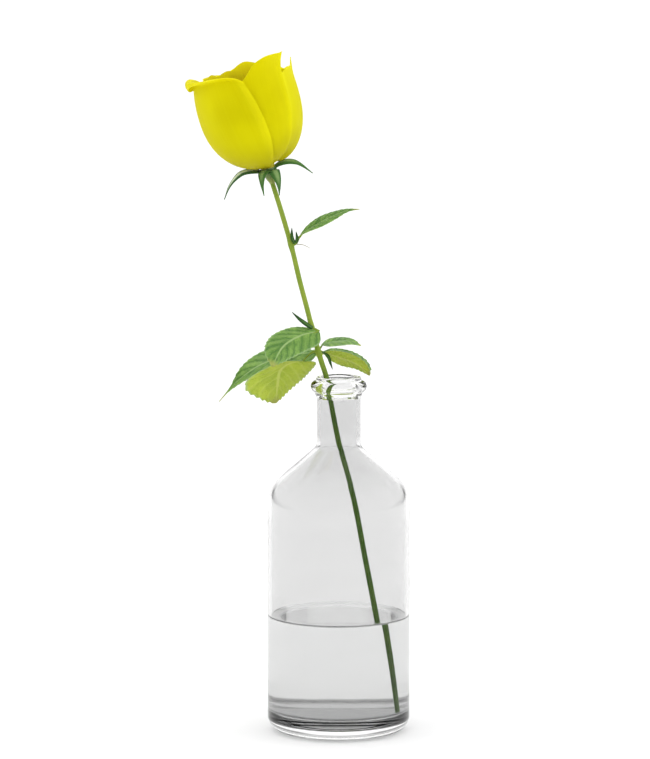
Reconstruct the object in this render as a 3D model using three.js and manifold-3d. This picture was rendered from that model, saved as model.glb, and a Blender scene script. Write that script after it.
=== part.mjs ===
// A single cut rose standing in a clear glass bottle with a little water.
// Millimetres, +Z up. The origin is the centre of the bottle's foot, on the surface it stands on.
// +X is to the right and +Y is away from the front, so the flower leans to the left and back.

import * as THREE from 'three';
import { mergeVertices } from 'three/addons/utils/BufferGeometryUtils.js';
import Module from 'manifold-3d';

const wasm = await Module();
wasm.setup();

// ---------------------------------------------------------------- driving dimensions

// bottle
const BOTTLE_HEIGHT = 181;
const BODY_RADIUS = 36;
const WALL = 1.8;
const FLOOR_THICKNESS = 11;
const HEEL_RADIUS = 8;
const SHOULDER_START = 115;
const SHOULDER_RADIUS = 20;
const SHOULDER_TURN = 49;
const NECK_RADIUS = 11.1;
const NECK_BORE = 9.3;
const NECK_FILLET = 4;
const BEAD_RADIUS = 14.2;
const BEAD_HALF_HEIGHT = 2.9;
const BEAD_HEIGHT = 176.2;
const LIP_RADIUS = 11.4;
const LIP_BORE = 8.8;
const FLOOR_FILLET = 2.5;
const ROUND_SEGMENTS = 36;

// water
const WATER_LEVEL = 58.5;
const MENISCUS_RISE = 1.4;
const MENISCUS_WIDTH = 3.5;

// clearance between neighbours
const GAP = 0.3;

// stem
const STEM_RADIUS = 1.4;
const STEM_SIDES = 8;
const STEM_STEPS = 36;

// bloom: measured along its own axis from the seat of the petals
const BLOOM_SEAT = new THREE.Vector3(-35.6, 15, 285.6);
const BLOOM_LEAN = 15;
const CUP_RADIUS = 27.2;
const CUP_WIDEST = 33.7;
const CUP_POWER = 2.4;
const CUP_CLOSING = 0.0087;
const PETAL_THICKNESS = 0.8;
const PETAL_SPACING = 1.2;
const PETAL_ROOT_RADIUS = 4;
const CURL_RADIUS = 2.8;
const HIP_LENGTH = 8.6;
const RECEPTACLE_RADIUS = 3.5;

// blades of leaves and sepals
const BLADE_THICKNESS = 0.7;
const PETIOLE_RADIUS = 0.8;
const STALKLET_RADIUS = 0.65;

const COLOURS = {
  glass: 0xe9eeee,
  water: 0xdfe6e6,
  stem: 0x7f9130,
  calyx: 0x4c7b40,
  leafTop: 0x5f965c,
  leafShaded: 0x86a84a,
  petal: 0xdcd30f,
  petalHeart: 0xc9bf10,
};

// ---------------------------------------------------------------- small helpers

const radians = THREE.MathUtils.degToRad;
const lerp = THREE.MathUtils.lerp;

function vec(point) {
  return new THREE.Vector3(point[0], point[1], point[2]);
}

function namedMesh(name, geometry, colour, roughness, opacity = 1) {
  const material = new THREE.MeshStandardMaterial({ color: colour, roughness, metalness: 0 });
  if (opacity < 1) {
    material.transparent = true;
    material.opacity = opacity;
  }
  const mesh = new THREE.Mesh(geometry, material);
  mesh.name = name;
  return mesh;
}

function toSolid(geometry) {
  const bare = geometry.clone();
  bare.deleteAttribute('normal');
  bare.deleteAttribute('uv');
  const merged = mergeVertices(bare, 1e-4);
  const vertProperties = Float32Array.from(merged.attributes.position.array);
  const triVerts = Uint32Array.from(merged.index.array);
  return new wasm.Manifold(new wasm.Mesh({ numProp: 3, vertProperties, triVerts }));
}

function toGeometry(solid) {
  const mesh = solid.getMesh();
  const geometry = new THREE.BufferGeometry();
  geometry.setAttribute('position', new THREE.BufferAttribute(mesh.vertProperties, 3));
  geometry.setIndex(new THREE.BufferAttribute(mesh.triVerts, 1));
  return geometry;
}

function fuse(geometries) {
  let solid = toSolid(geometries[0]);
  for (const geometry of geometries.slice(1)) {
    solid = solid.add(toSolid(geometry));
  }
  return toGeometry(solid);
}

// A value read from evenly spaced ones, for u from -1 to 1, eased between them.
function spread(values, u) {
  const place = ((u + 1) / 2) * (values.length - 1);
  const index = Math.min(Math.floor(place), values.length - 2);
  const eased = THREE.MathUtils.smoothstep(place - index, 0, 1);
  return lerp(values[index], values[index + 1], eased);
}

// Points of an arc in a lathe profile, from angle a to angle b in degrees.
function arc(radius, height, size, a, b, steps) {
  const points = [];
  for (let k = 0; k <= steps; k += 1) {
    const angle = radians(lerp(a, b, k / steps));
    points.push(new THREE.Vector2(radius + size * Math.cos(angle), height + size * Math.sin(angle)));
  }
  return points;
}

// A profile of (radius, height) points turned about the Z axis.
function turned(profile, segments) {
  const geometry = new THREE.LatheGeometry(profile, segments);
  geometry.rotateX(Math.PI / 2);
  return geometry;
}

// A round rod along a smooth curve.
function rod(curve, radius, sides, steps) {
  const section = new THREE.Shape();
  for (let k = 0; k < sides; k += 1) {
    const angle = (2 * Math.PI * k) / sides;
    const x = radius * Math.cos(angle);
    const y = radius * Math.sin(angle);
    if (k === 0) {
      section.moveTo(x, y);
    } else {
      section.lineTo(x, y);
    }
  }
  section.closePath();
  return new THREE.ExtrudeGeometry(section, { steps, extrudePath: curve, bevelEnabled: false });
}

function smoothCurve(points) {
  return new THREE.CatmullRomCurve3(points.map(vec), false, 'centripetal');
}

// A closed thin slab about a grid of points. Both faces are split into triangles alike.
function slab(grid, thickness) {
  const rows = grid.length;
  const columns = grid[0].length;
  const positions = [];
  for (const side of [0.5, -0.5]) {
    for (let i = 0; i < rows; i += 1) {
      for (let j = 0; j < columns; j += 1) {
        const alongRows = grid[Math.min(i + 1, rows - 1)][j].clone().sub(grid[Math.max(i - 1, 0)][j]);
        const alongColumns = grid[i][Math.min(j + 1, columns - 1)].clone().sub(grid[i][Math.max(j - 1, 0)]);
        const normal = alongRows.cross(alongColumns).normalize();
        const point = grid[i][j].clone().addScaledVector(normal, side * thickness);
        positions.push(point.x, point.y, point.z);
      }
    }
  }
  const face = (i, j) => i * columns + j;
  const back = (i, j) => rows * columns + i * columns + j;
  const index = [];
  const quad = (a, b, c, d) => index.push(a, b, c, a, c, d);
  for (let i = 0; i < rows - 1; i += 1) {
    for (let j = 0; j < columns - 1; j += 1) {
      index.push(face(i, j), face(i + 1, j), face(i + 1, j + 1));
      index.push(face(i, j), face(i + 1, j + 1), face(i, j + 1));
      index.push(back(i, j), back(i + 1, j + 1), back(i + 1, j));
      index.push(back(i, j), back(i, j + 1), back(i + 1, j + 1));
    }
  }
  const last = columns - 1;
  for (let i = 0; i < rows - 1; i += 1) {
    quad(face(i, 0), back(i, 0), back(i + 1, 0), face(i + 1, 0));
    quad(face(i, last), face(i + 1, last), back(i + 1, last), back(i, last));
  }
  const end = rows - 1;
  for (let j = 0; j < columns - 1; j += 1) {
    quad(face(0, j), face(0, j + 1), back(0, j + 1), back(0, j));
    quad(face(end, j), back(end, j), back(end, j + 1), face(end, j + 1));
  }
  const geometry = new THREE.BufferGeometry();
  geometry.setAttribute('position', new THREE.Float32BufferAttribute(positions, 3));
  geometry.setIndex(index);
  return geometry;
}

// ---------------------------------------------------------------- bottle

// Both walls of the shoulder turn about one centre, and both fillets under the neck about another.
function shoulderFrame() {
  const turn = radians(SHOULDER_TURN);
  const endRadius = BODY_RADIUS - SHOULDER_RADIUS + SHOULDER_RADIUS * Math.cos(turn);
  const endHeight = SHOULDER_START + SHOULDER_RADIUS * Math.sin(turn);
  const filletCentre = NECK_RADIUS + NECK_FILLET;
  const meetRadius = filletCentre - NECK_FILLET * Math.cos(turn);
  const run = (endRadius - meetRadius) / Math.sin(turn);
  const filletHeight = endHeight + run * Math.cos(turn) + NECK_FILLET * Math.sin(turn);
  return { filletCentre, filletHeight };
}

function bottleGeometry() {
  const { filletCentre, filletHeight } = shoulderFrame();
  const shoulderCentre = BODY_RADIUS - SHOULDER_RADIUS;
  const lipRound = (LIP_RADIUS - LIP_BORE) / 2;
  const lipCentre = (LIP_RADIUS + LIP_BORE) / 2;
  const innerRadius = BODY_RADIUS - WALL;
  const outside = [
    new THREE.Vector2(0, 0),
    ...arc(BODY_RADIUS - HEEL_RADIUS, HEEL_RADIUS, HEEL_RADIUS, -90, 0, 4),
    ...arc(shoulderCentre, SHOULDER_START, SHOULDER_RADIUS, 0, SHOULDER_TURN, 5),
    ...arc(filletCentre, filletHeight, NECK_FILLET, 180 + SHOULDER_TURN, 180, 3),
    new THREE.Vector2(NECK_RADIUS, BEAD_HEIGHT - 2 * BEAD_HALF_HEIGHT),
    ...arc(BEAD_RADIUS - BEAD_HALF_HEIGHT, BEAD_HEIGHT, BEAD_HALF_HEIGHT, -66, 66, 6),
    ...arc(lipCentre, BOTTLE_HEIGHT - lipRound, lipRound, 0, 180, 5),
  ];
  const inside = [
    new THREE.Vector2(NECK_BORE, BEAD_HEIGHT - 2 * BEAD_HALF_HEIGHT),
    ...arc(filletCentre, filletHeight, filletCentre - NECK_BORE, 180, 180 + SHOULDER_TURN, 3),
    ...arc(shoulderCentre, SHOULDER_START, SHOULDER_RADIUS - WALL, SHOULDER_TURN, 0, 5),
    ...arc(innerRadius - FLOOR_FILLET, FLOOR_THICKNESS + FLOOR_FILLET, FLOOR_FILLET, 0, -90, 4),
    new THREE.Vector2(0, FLOOR_THICKNESS),
  ];
  return turned([...outside, ...inside], ROUND_SEGMENTS);
}

// ---------------------------------------------------------------- stem and water

const STEM_FOOT = [27.9, -13.4, 11.6];
const STEM_IN_BOTTLE = [
  [19.4, -8.8, 60],
  [13.7, -5.7, 90],
  [8, -2.7, 120],
  [1, 0.6, 146],
  [-4.2, 2.3, 170],
  [-6.4, 2.9, 181],
];
const STEM_ABOVE_BOTTLE = [
  [-8.6, 4.4, 187.6],
  [-12.2, 7, 199.7],
  [-15.9, 9, 214.2],
  [-19.7, 10.7, 228.4],
  [-23.3, 12.1, 243.5],
  [-28.3, 13.6, 261.1],
];

function bloomAxis() {
  const lean = radians(BLOOM_LEAN);
  return new THREE.Vector3(-Math.sin(lean), 0, Math.cos(lean));
}

function stemCurve() {
  const top = BLOOM_SEAT.clone().addScaledVector(bloomAxis(), -HIP_LENGTH - GAP);
  return smoothCurve([STEM_FOOT, ...STEM_IN_BOTTLE, ...STEM_ABOVE_BOTTLE, top.toArray()]);
}

// The stem's middle at a height.
function stemAt(height) {
  const curve = stemCurve();
  let low = 0;
  let high = 1;
  for (let k = 0; k < 30; k += 1) {
    const middle = (low + high) / 2;
    if (curve.getPointAt(middle).z < height) {
      low = middle;
    } else {
      high = middle;
    }
  }
  return curve.getPointAt(low);
}

// A point beside the stem, a little clear of its skin. Angle 0 is to the right, -90 the front.
function besideStem(height, angle, clear = GAP) {
  const point = stemAt(height);
  const reach = STEM_RADIUS + clear;
  point.x += reach * Math.cos(radians(angle));
  point.y += reach * Math.sin(radians(angle));
  return point.toArray();
}

function stemGeometry() {
  return rod(stemCurve(), STEM_RADIUS, STEM_SIDES, STEM_STEPS);
}

// The water fills the bottle to its level and creeps up the wall. The stem stands in a plain hole.
function waterGeometry() {
  const radius = BODY_RADIUS - WALL - GAP;
  const fillet = FLOOR_FILLET - GAP;
  const floor = FLOOR_THICKNESS + GAP;
  const profile = [
    new THREE.Vector2(0, floor),
    ...arc(radius - fillet, floor + fillet, fillet, -90, 0, 4),
    new THREE.Vector2(radius, WATER_LEVEL + MENISCUS_RISE),
    new THREE.Vector2(radius - MENISCUS_WIDTH / 3, WATER_LEVEL + MENISCUS_RISE / 3),
    new THREE.Vector2(radius - MENISCUS_WIDTH, WATER_LEVEL),
    new THREE.Vector2(0, WATER_LEVEL),
  ];
  const foot = vec(STEM_FOOT);
  const above = vec(STEM_IN_BOTTLE[1]);
  const along = above.clone().sub(foot).normalize();
  const below = foot.clone().addScaledVector(along, -3 * GAP);
  const holePath = new THREE.CatmullRomCurve3(
    [below, foot, ...STEM_IN_BOTTLE.slice(0, 2).map(vec)],
    false,
    'centripetal',
  );
  const hole = rod(holePath, STEM_RADIUS + 1.3 * GAP, STEM_SIDES, 10);
  return toGeometry(toSolid(turned(profile, ROUND_SEGMENTS)).subtract(toSolid(hole)));
}

// ---------------------------------------------------------------- petals

// The cup that the petals follow: its radius at a height, drawn in by an offset for inner layers.
function cupPoint(part, offset) {
  const angle = part * Math.PI * 0.5;
  const radius = (CUP_RADIUS - offset) * Math.sin(angle);
  const height = CUP_WIDEST - (CUP_WIDEST - offset) * Math.cos(angle) ** (2 / CUP_POWER);
  return new THREE.Vector2(radius, height);
}

// One petal's middle line at one place across it: up the cup, past its widest ring, and out in a curl.
// The sag lowers its lower part, and the flare leans its upper part out.
function petalLine(offset, { rim, curl, flare, sag }) {
  const line = [];
  const rootPart = Math.asin(PETAL_ROOT_RADIUS / (CUP_RADIUS - offset)) / (Math.PI * 0.5);
  const lowRows = 6;
  for (let k = 0; k <= lowRows; k += 1) {
    const point = cupPoint(lerp(rootPart, 1, (k / lowRows) ** 0.9), offset);
    point.y -= sag * Math.sin(Math.PI * Math.sqrt(k / lowRows));
    line.push(point);
  }
  const curlAngle = curl / CURL_RADIUS;
  const straightTop = rim - CURL_RADIUS * Math.sin(Math.min(curlAngle, Math.PI / 2));
  const midRows = 3;
  for (let k = 1; k <= midRows; k += 1) {
    const height = lerp(CUP_WIDEST, straightTop, k / midRows);
    const closing = CUP_CLOSING * (height - CUP_WIDEST) ** 2;
    line.push(new THREE.Vector2(CUP_RADIUS - offset - closing + flare * (k / midRows) ** 2, height));
  }
  const start = line[line.length - 1];
  const curlRows = 3;
  for (let k = 1; k <= curlRows; k += 1) {
    const angle = (curlAngle * k) / curlRows;
    const out = CURL_RADIUS * (1 - Math.cos(angle));
    line.push(new THREE.Vector2(start.x + out, start.y + CURL_RADIUS * Math.sin(angle)));
  }
  return line;
}

// A petal spans the angles from and to, each given at its root and at its rim.
// Its rim heights, curl lengths, flares and sags are spread evenly across it.
// Angle 0 is to the right, -90 the front.
const OUTER_PETALS = [
  {
    name: 'outer_petal_front_left',
    layer: 0,
    from: [-210, -222],
    to: [-72, -94],
    rim: [46, 51.6, 51.4, 49.2, 45.5],
    curl: [3, 11.2, 7, 2.4, 1],
    flare: [0, 0.3, 0.3, 0, 0],
    sag: [0, 0, 0, 0, 0],
  },
  {
    name: 'outer_petal_front_right',
    layer: 1,
    from: [-120, -126],
    to: [-47, -30],
    rim: [47, 50, 52.5, 54.5, 56.4],
    curl: [0.4, 0.4, 0.6, 0.8, 0.6],
    flare: [0, 0, 0, 0, 0],
    sag: [0, 0, 0, 0, 0],
  },
  {
    name: 'outer_petal_right',
    layer: 2,
    from: [-66, -66],
    to: [50, 54],
    rim: [44, 46.6, 49, 45, 41],
    curl: [0.3, 0.5, 2.4, 0.8, 0.5],
    flare: [0, 0, 0.3, 0, 0],
    sag: [0, 0, 2.4, 2.4, 1],
  },
  {
    name: 'outer_petal_back',
    layer: 3,
    from: [22, 18],
    to: [160, 166],
    rim: [44, 48.5, 50, 48.5, 45],
    curl: [0.5, 1.6, 2.4, 1.8, 0.6],
    flare: [0, 0, 0, 0, 0],
    sag: [0, 0, 0, 0, 0],
  },
  {
    name: 'outer_petal_back_left',
    layer: 4,
    from: [98, 96],
    to: [232, 236],
    rim: [45, 50.5, 52.5, 51.5, 46],
    curl: [0.3, 0.6, 0.8, 0.6, 0.3],
    flare: [0, 0, 0, 0, 0],
    sag: [0, 0, 0, 0, 0],
  },
];

function petalGeometry(petal) {
  const columns = 10;
  const grid = [];
  for (let j = 0; j <= columns; j += 1) {
    const u = (2 * j) / columns - 1;
    const offset = petal.layer * PETAL_SPACING;
    const line = petalLine(offset, {
      rim: spread(petal.rim, u),
      curl: spread(petal.curl, u),
      flare: spread(petal.flare, u),
      sag: spread(petal.sag, u),
    });
    line.forEach((point, i) => {
      const v = i / (line.length - 1);
      const start = lerp(petal.from[0], petal.from[1], v ** 2);
      const stop = lerp(petal.to[0], petal.to[1], v ** 2);
      const angle = radians(lerp(start, stop, j / columns));
      grid[i] = grid[i] || [];
      grid[i][j] = new THREE.Vector3(point.x * Math.cos(angle), point.x * Math.sin(angle), point.y);
    });
  }
  return slab(grid, PETAL_THICKNESS);
}

// The heart of the bloom: inner petals wound in a spiral, standing out of a small solid core.
const HEART_OFFSET = 5.7;
const HEART_TURNS = 2.2;
const HEART_START_ANGLE = -30;
const HEART_PETALS = 5;
const HEART_RIM = 52.2;
const HEART_NOTCH = 3.2;
const HEART_OUTER_RADIUS = 19.8;
const HEART_INNER_RADIUS = 3.4;
const HEART_CORE_TOP = 22;

function heartGeometry() {
  const core = [new THREE.Vector2(0, HEART_OFFSET)];
  const coreRows = 5;
  for (let k = 1; k <= coreRows; k += 1) {
    core.push(cupPoint((0.62 * k) / coreRows, HEART_OFFSET));
  }
  core.push(new THREE.Vector2(0, HEART_CORE_TOP));
  const steps = 44;
  const rows = 5;
  const root = HEART_CORE_TOP - 7;
  const grid = [];
  for (let i = 0; i <= rows; i += 1) {
    grid.push([]);
    for (let j = 0; j <= steps; j += 1) {
      const along = j / steps;
      const angle = radians(HEART_START_ANGLE + 360 * HEART_TURNS * along);
      const wave = Math.abs(Math.sin(Math.PI * HEART_PETALS * along)) ** 0.6;
      const rim = HEART_RIM - HEART_NOTCH * (1 - wave);
      const height = lerp(root, rim, i / rows);
      const widest = lerp(HEART_OUTER_RADIUS, HEART_INNER_RADIUS, along);
      const rise = (height - CUP_WIDEST) / (HEART_RIM - CUP_WIDEST);
      const narrowing = (rise > 0 ? 0.2 : 0.14) * rise ** 2;
      const radius = widest * (1 - narrowing);
      grid[i].push(new THREE.Vector3(radius * Math.cos(angle), radius * Math.sin(angle), height));
    }
  }
  return fuse([turned(core, 20), slab(grid, PETAL_THICKNESS)]);
}

// ---------------------------------------------------------------- calyx

// Sepals reflex from under the petals. Each path is (outward, up) points from inside the hip to the tip.
// The twist turns a sepal's width about its path.
const SEPALS = [
  { angle: 183, twist: 40, path: [[2.4, -2], [8, -0.9], [14.2, -0.6], [21, -4.6], [25.6, -10.6]] },
  { angle: -112, twist: 10, path: [[2.4, -2], [6, -1.4], [10, -2.6], [13, -6.5], [14, -12.5]] },
  { angle: -52, twist: -15, path: [[2.4, -2.2], [4.8, -3], [6.2, -6], [5.4, -10.5], [3, -15.2]] },
  { angle: 2, twist: -40, path: [[2.4, -2], [7, -0.9], [12.2, -0.6], [16.4, -3.2], [21.8, -10]] },
  { angle: 86, twist: 0, path: [[2.4, -2], [7, -1], [12.5, -1.6], [17.5, -5.5], [20.5, -11.5]] },
];
const SEPAL_HALF_WIDTH = 2.6;
const SEPAL_FOLD = 0.3;
const SEPAL_STATIONS = 9;

// A sepal is widest near a quarter of its length and runs out to a thread.
function sepalWidth(t) {
  return t < 0.25 ? 0.6 + 1.6 * t : ((1 - t) / 0.75) ** 1.3;
}

function sepalGeometry(sepal) {
  const curve = smoothCurve(sepal.path.map(([out, up]) => [out, 0, up]));
  const grid = [];
  for (let i = 0; i <= SEPAL_STATIONS; i += 1) {
    const t = i / SEPAL_STATIONS;
    const middle = curve.getPointAt(t);
    const tangent = curve.getTangentAt(t);
    const outward = new THREE.Vector3(tangent.z, 0, -tangent.x);
    const half = 0.35 + SEPAL_HALF_WIDTH * sepalWidth(t);
    const twist = radians(sepal.twist) * Math.min(1, 2 * t);
    const across = new THREE.Vector3(0, Math.cos(twist), 0).addScaledVector(outward, Math.sin(twist));
    const row = [];
    for (const side of [-1, 0, 1]) {
      const point = middle.clone().addScaledVector(outward, SEPAL_FOLD * half * Math.abs(side));
      row.push(point.addScaledVector(across, side * half));
    }
    grid.push(row);
  }
  const geometry = slab(grid, BLADE_THICKNESS);
  geometry.rotateZ(radians(sepal.angle));
  return geometry;
}

function calyxGeometry() {
  const profile = [
    new THREE.Vector2(0, -HIP_LENGTH),
    new THREE.Vector2(STEM_RADIUS + 0.1, -HIP_LENGTH),
    new THREE.Vector2(2.4, -6.4),
    new THREE.Vector2(3.1, -4),
    new THREE.Vector2(3.8, -2),
    new THREE.Vector2(4, -0.8),
    new THREE.Vector2(RECEPTACLE_RADIUS, -0.7),
    new THREE.Vector2(RECEPTACLE_RADIUS, HEART_OFFSET - GAP - 0.8),
    new THREE.Vector2(RECEPTACLE_RADIUS - 0.8, HEART_OFFSET - GAP),
    new THREE.Vector2(0, HEART_OFFSET - GAP),
  ];
  return fuse([turned(profile, 16), ...SEPALS.map(sepalGeometry)]);
}

// ---------------------------------------------------------------- leaves

// A leaflet lies between two saw-toothed edges that share its base and its tip, about a raised midrib.
function leafletGrid({ base, mid, tip, far, near, teeth = 9, tooth = 0.65, crown = 0.16 }) {
  const midrib = smoothCurve([base, ...mid, tip]);
  const edges = [far, near].map((edge) => smoothCurve([base, ...edge, tip]));
  const stations = 2 * teeth;
  const grid = [];
  for (let i = 0; i <= stations; i += 1) {
    const t = lerp(0.035, 0.985, i / stations);
    const middle = midrib.getPointAt(t);
    const tangent = midrib.getTangentAt(t);
    const isTooth = i % 2 === 1;
    const half = edges.map((edge, side) => {
      const outward = edge.getPointAt(t).sub(middle);
      const reach = outward.length();
      const size = isTooth ? Math.min(tooth, 0.25 * reach) : 0;
      const rim = middle.clone().addScaledVector(outward, (reach + size) / reach);
      rim.addScaledVector(tangent, 0.8 * size);
      const swell = tangent.clone().cross(outward).normalize().multiplyScalar(side === 0 ? 1 : -1);
      const inner = middle.clone().lerp(rim, 0.5).addScaledVector(swell, crown * reach * 0.5);
      return { rim, inner };
    });
    grid.push([half[0].rim, half[0].inner, middle, half[1].inner, half[1].rim]);
  }
  return grid;
}

function leafletGeometry(leaflet) {
  return slab(leafletGrid(leaflet), BLADE_THICKNESS);
}

// The little stalk of a leaflet runs from where it leaves the leaf's stalk into the foot of the midrib.
function stalkletGeometry({ base, mid, tip, stalklet }) {
  const midrib = smoothCurve([base, ...mid, tip]);
  const inBlade = [0.05, 0.14].map((t) => midrib.getPointAt(t).toArray());
  return stalkGeometry([...stalklet, ...inBlade], STALKLET_RADIUS);
}

// A stipule is a narrow pointed blade beside the foot of a leaf stalk.
function stipuleGeometry({ path, half = 1.1, side = [0, 1, 0] }) {
  const curve = smoothCurve(path);
  const across = vec(side).normalize();
  const stations = 5;
  const grid = [];
  for (let i = 0; i <= stations; i += 1) {
    const t = i / stations;
    const middle = curve.getPointAt(t);
    const width = 0.3 + half * Math.sin(Math.PI * (0.25 + 0.75 * t));
    grid.push([-1, 1].map((way) => middle.clone().addScaledVector(across, way * width)));
  }
  return slab(grid, BLADE_THICKNESS);
}

function stalkGeometry(points, radius = PETIOLE_RADIUS) {
  return rod(smoothCurve(points), radius, 6, 3 * (points.length - 1));
}

const UPPER_LEAF = {
  stalk: [besideStem(246.4, -25, 0.8), besideStem(247.6, -22, 1.9), [-19.9, 11.3, 250.6]],
  leaflets: [
    {
      stalklet: [[-20.2, 11.2, 249.8]],
      base: [-19.6, 11.4, 251.2],
      mid: [[-11.9, 11, 256.1], [-1.9, 9, 261.6]],
      tip: [10.7, 8, 264.7],
      far: [[-16, 14, 255.7], [-9.4, 15, 260.4], [0.7, 12, 264.2]],
      near: [[-14.9, 8, 253.6], [-8.4, 6, 256.4], [0.6, 6, 261.4]],
      teeth: 8,
    },
  ],
  stipules: [
    { path: [besideStem(246.7, -30, 1.4), [-23.4, 9.2, 250.4], [-23.6, 9.2, 255.4]], side: [1, 0.4, 0] },
    { path: [besideStem(246.9, -25, 1.4), [-21, 9, 249.6], [-21.4, 8.4, 253.6]], side: [1, -0.4, 0] },
    { path: [besideStem(246.8, -20, 1.2), [-18, 9.6, 245.6], [-14.4, 8, 247.2]], half: 0.6 },
  ],
};

const MIDDLE_LEAF = {
  stalk: [besideStem(204.8, -80, 0.6), besideStem(204.6, -68, 1.9), [-9.8, 3.4, 203.6]],
  leaflets: [
    {
      stalklet: [[-10.4, 3.6, 204.1]],
      base: [-9.4, 3.4, 203.4],
      mid: [[-18, 1.5, 202], [-27.5, -5, 197.2]],
      tip: [-33.4, -14, 187.8],
      far: [[-14.5, 5, 205], [-23.5, 6.5, 205.1], [-33.6, 1, 201.5], [-37, -8, 195.6]],
      near: [[-9.4, 0, 198.6], [-15.9, -6, 195.3], [-24.4, -12, 192.1], [-29.4, -14.5, 189.9]],
      teeth: 11,
    },
  ],
  stipules: [
    { path: [besideStem(204.7, -75, 1.5), [-15, 3.6, 206.4], [-19.5, 3.4, 209.7], [-23.5, 3.2, 213.3]] },
  ],
};

const LOWER_LEAF = {
  stalk: [besideStem(192.8, 95, 0.4), [-9.6, 12, 192.6], [-10, 21, 191.6], [-10.5, 30, 189.9]],
  leaflets: [
    {
      stalklet: [[-9.5, 10.4, 192.7], [-12.5, 9.8, 192.7]],
      base: [-16, 9, 191.3],
      mid: [[-21.5, 10, 186.1], [-27.1, 14, 175.8]],
      tip: [-32, 16, 165.3],
      far: [[-11.5, 14, 185], [-17.5, 19, 178.7], [-25.7, 20, 171.9]],
      near: [[-19.5, 6, 189.2], [-33.6, 2.5, 185.6], [-46.2, 2, 178], [-40.8, 9, 169.9]],
      teeth: 10,
    },
    {
      stalklet: [[-9.6, 10.2, 192.7]],
      base: [-8.2, 10, 192.2],
      mid: [[-0.3, 12, 189.4], [8.8, 12, 185.8]],
      tip: [15.7, 10, 180],
      far: [[-5.4, 15, 188.2], [0.7, 18, 184.4], [8.8, 16, 182.7]],
      near: [[-3.4, 7, 193.9], [5.6, 6, 192.7], [12.3, 7, 189]],
      teeth: 8,
    },
    {
      stalklet: [[-9.9, 20.2, 191.7]],
      base: [-10.8, 20, 190.2],
      mid: [[-22.1, 18, 189.6], [-38.8, 12, 185.8], [-49.8, 8, 179.7]],
      tip: [-60.9, 5, 167.1],
      far: [[-19.6, 28, 193.3], [-32.3, 25, 192.7], [-43.9, 18, 188], [-51.1, 10, 181.5]],
      near: [[-19.5, 13, 186.7], [-29.6, 9, 185.2], [-41.2, 6, 181.8], [-51.8, 5, 176]],
      teeth: 12,
    },
    {
      stalklet: [[-10, 22, 191.5]],
      base: [-8.9, 23, 194],
      mid: [[-1.8, 25, 195], [5.8, 25, 195.3]],
      tip: [11.6, 24, 193.4],
      far: [[-5.4, 30, 195.9], [1.3, 34, 196.2], [7.3, 30, 195.8]],
      near: [[-5.4, 18, 193.7], [0.7, 16, 194.4], [6.3, 18, 194.7]],
      teeth: 7,
    },
    {
      stalklet: [[-10.3, 27, 190.5]],
      base: [-10.5, 29, 189.9],
      mid: [[-11.5, 39, 189.2], [-13.4, 49, 187.4]],
      tip: [-14.8, 59, 182.6],
      far: [[-4.4, 36, 188.3], [-6, 46, 186.6]],
      near: [[-18.7, 36, 189.6], [-20.2, 46, 188]],
      teeth: 9,
    },
  ],
  stipules: [
    {
      path: [besideStem(192.5, 85, 1.6), [-5.9, 7.4, 190.8], [-4.3, 5.6, 187.2], [-3.1, 4, 184.1]],
      half: 0.8,
      side: [1, 1, 0],
    },
  ],
};

function leafGeometry(leaf) {
  return fuse([
    stalkGeometry(leaf.stalk),
    ...leaf.leaflets.map(stalkletGeometry),
    ...leaf.leaflets.map(leafletGeometry),
    ...leaf.stipules.map(stipuleGeometry),
  ]);
}

// ---------------------------------------------------------------- assembly

const bloom = new THREE.Group();
bloom.position.copy(BLOOM_SEAT);
bloom.rotation.y = radians(-BLOOM_LEAN);
bloom.add(namedMesh('calyx', calyxGeometry(), COLOURS.calyx, 0.6));
for (const petal of OUTER_PETALS) {
  bloom.add(namedMesh(petal.name, petalGeometry(petal), COLOURS.petal, 0.55));
}
bloom.add(namedMesh('inner_petals', heartGeometry(), COLOURS.petalHeart, 0.55));

const flower = new THREE.Group();
flower.add(namedMesh('stem', stemGeometry(), COLOURS.stem, 0.5));
flower.add(namedMesh('leaf_upper', leafGeometry(UPPER_LEAF), COLOURS.leafTop, 0.5));
flower.add(namedMesh('leaf_middle', leafGeometry(MIDDLE_LEAF), COLOURS.leafTop, 0.5));
flower.add(namedMesh('leaf_lower', leafGeometry(LOWER_LEAF), COLOURS.leafShaded, 0.5));
flower.add(bloom);

const group = new THREE.Group();
group.add(namedMesh('bottle', bottleGeometry(), COLOURS.glass, 0.03, 0.3));
group.add(namedMesh('water', waterGeometry(), COLOURS.water, 0.02, 0.35));
group.add(flower);

export default group;
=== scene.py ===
"""A cut yellow rose standing in a clear glass bottle with a little water.

Forms are written in millimetres in the part's own frame: +Z up, the origin at the centre of the
bottle's foot, +X to the right and +Y away from the front. They are scaled to metres as a mesh is made.
"""

import math
from bisect import bisect_left
from collections import namedtuple

import bpy
from mathutils import Matrix, Vector, noise


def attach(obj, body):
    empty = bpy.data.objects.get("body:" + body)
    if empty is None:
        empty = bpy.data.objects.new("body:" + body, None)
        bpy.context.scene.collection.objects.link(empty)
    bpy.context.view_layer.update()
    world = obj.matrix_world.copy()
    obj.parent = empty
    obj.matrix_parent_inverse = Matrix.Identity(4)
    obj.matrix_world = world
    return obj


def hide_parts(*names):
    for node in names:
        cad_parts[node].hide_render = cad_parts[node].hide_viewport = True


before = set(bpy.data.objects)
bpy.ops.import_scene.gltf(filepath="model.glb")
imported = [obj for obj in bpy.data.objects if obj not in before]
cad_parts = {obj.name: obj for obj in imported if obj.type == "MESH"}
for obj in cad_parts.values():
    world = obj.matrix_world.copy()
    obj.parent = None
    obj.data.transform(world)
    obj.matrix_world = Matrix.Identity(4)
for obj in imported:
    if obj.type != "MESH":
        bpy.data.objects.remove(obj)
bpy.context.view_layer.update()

MM = 0.001


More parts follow.
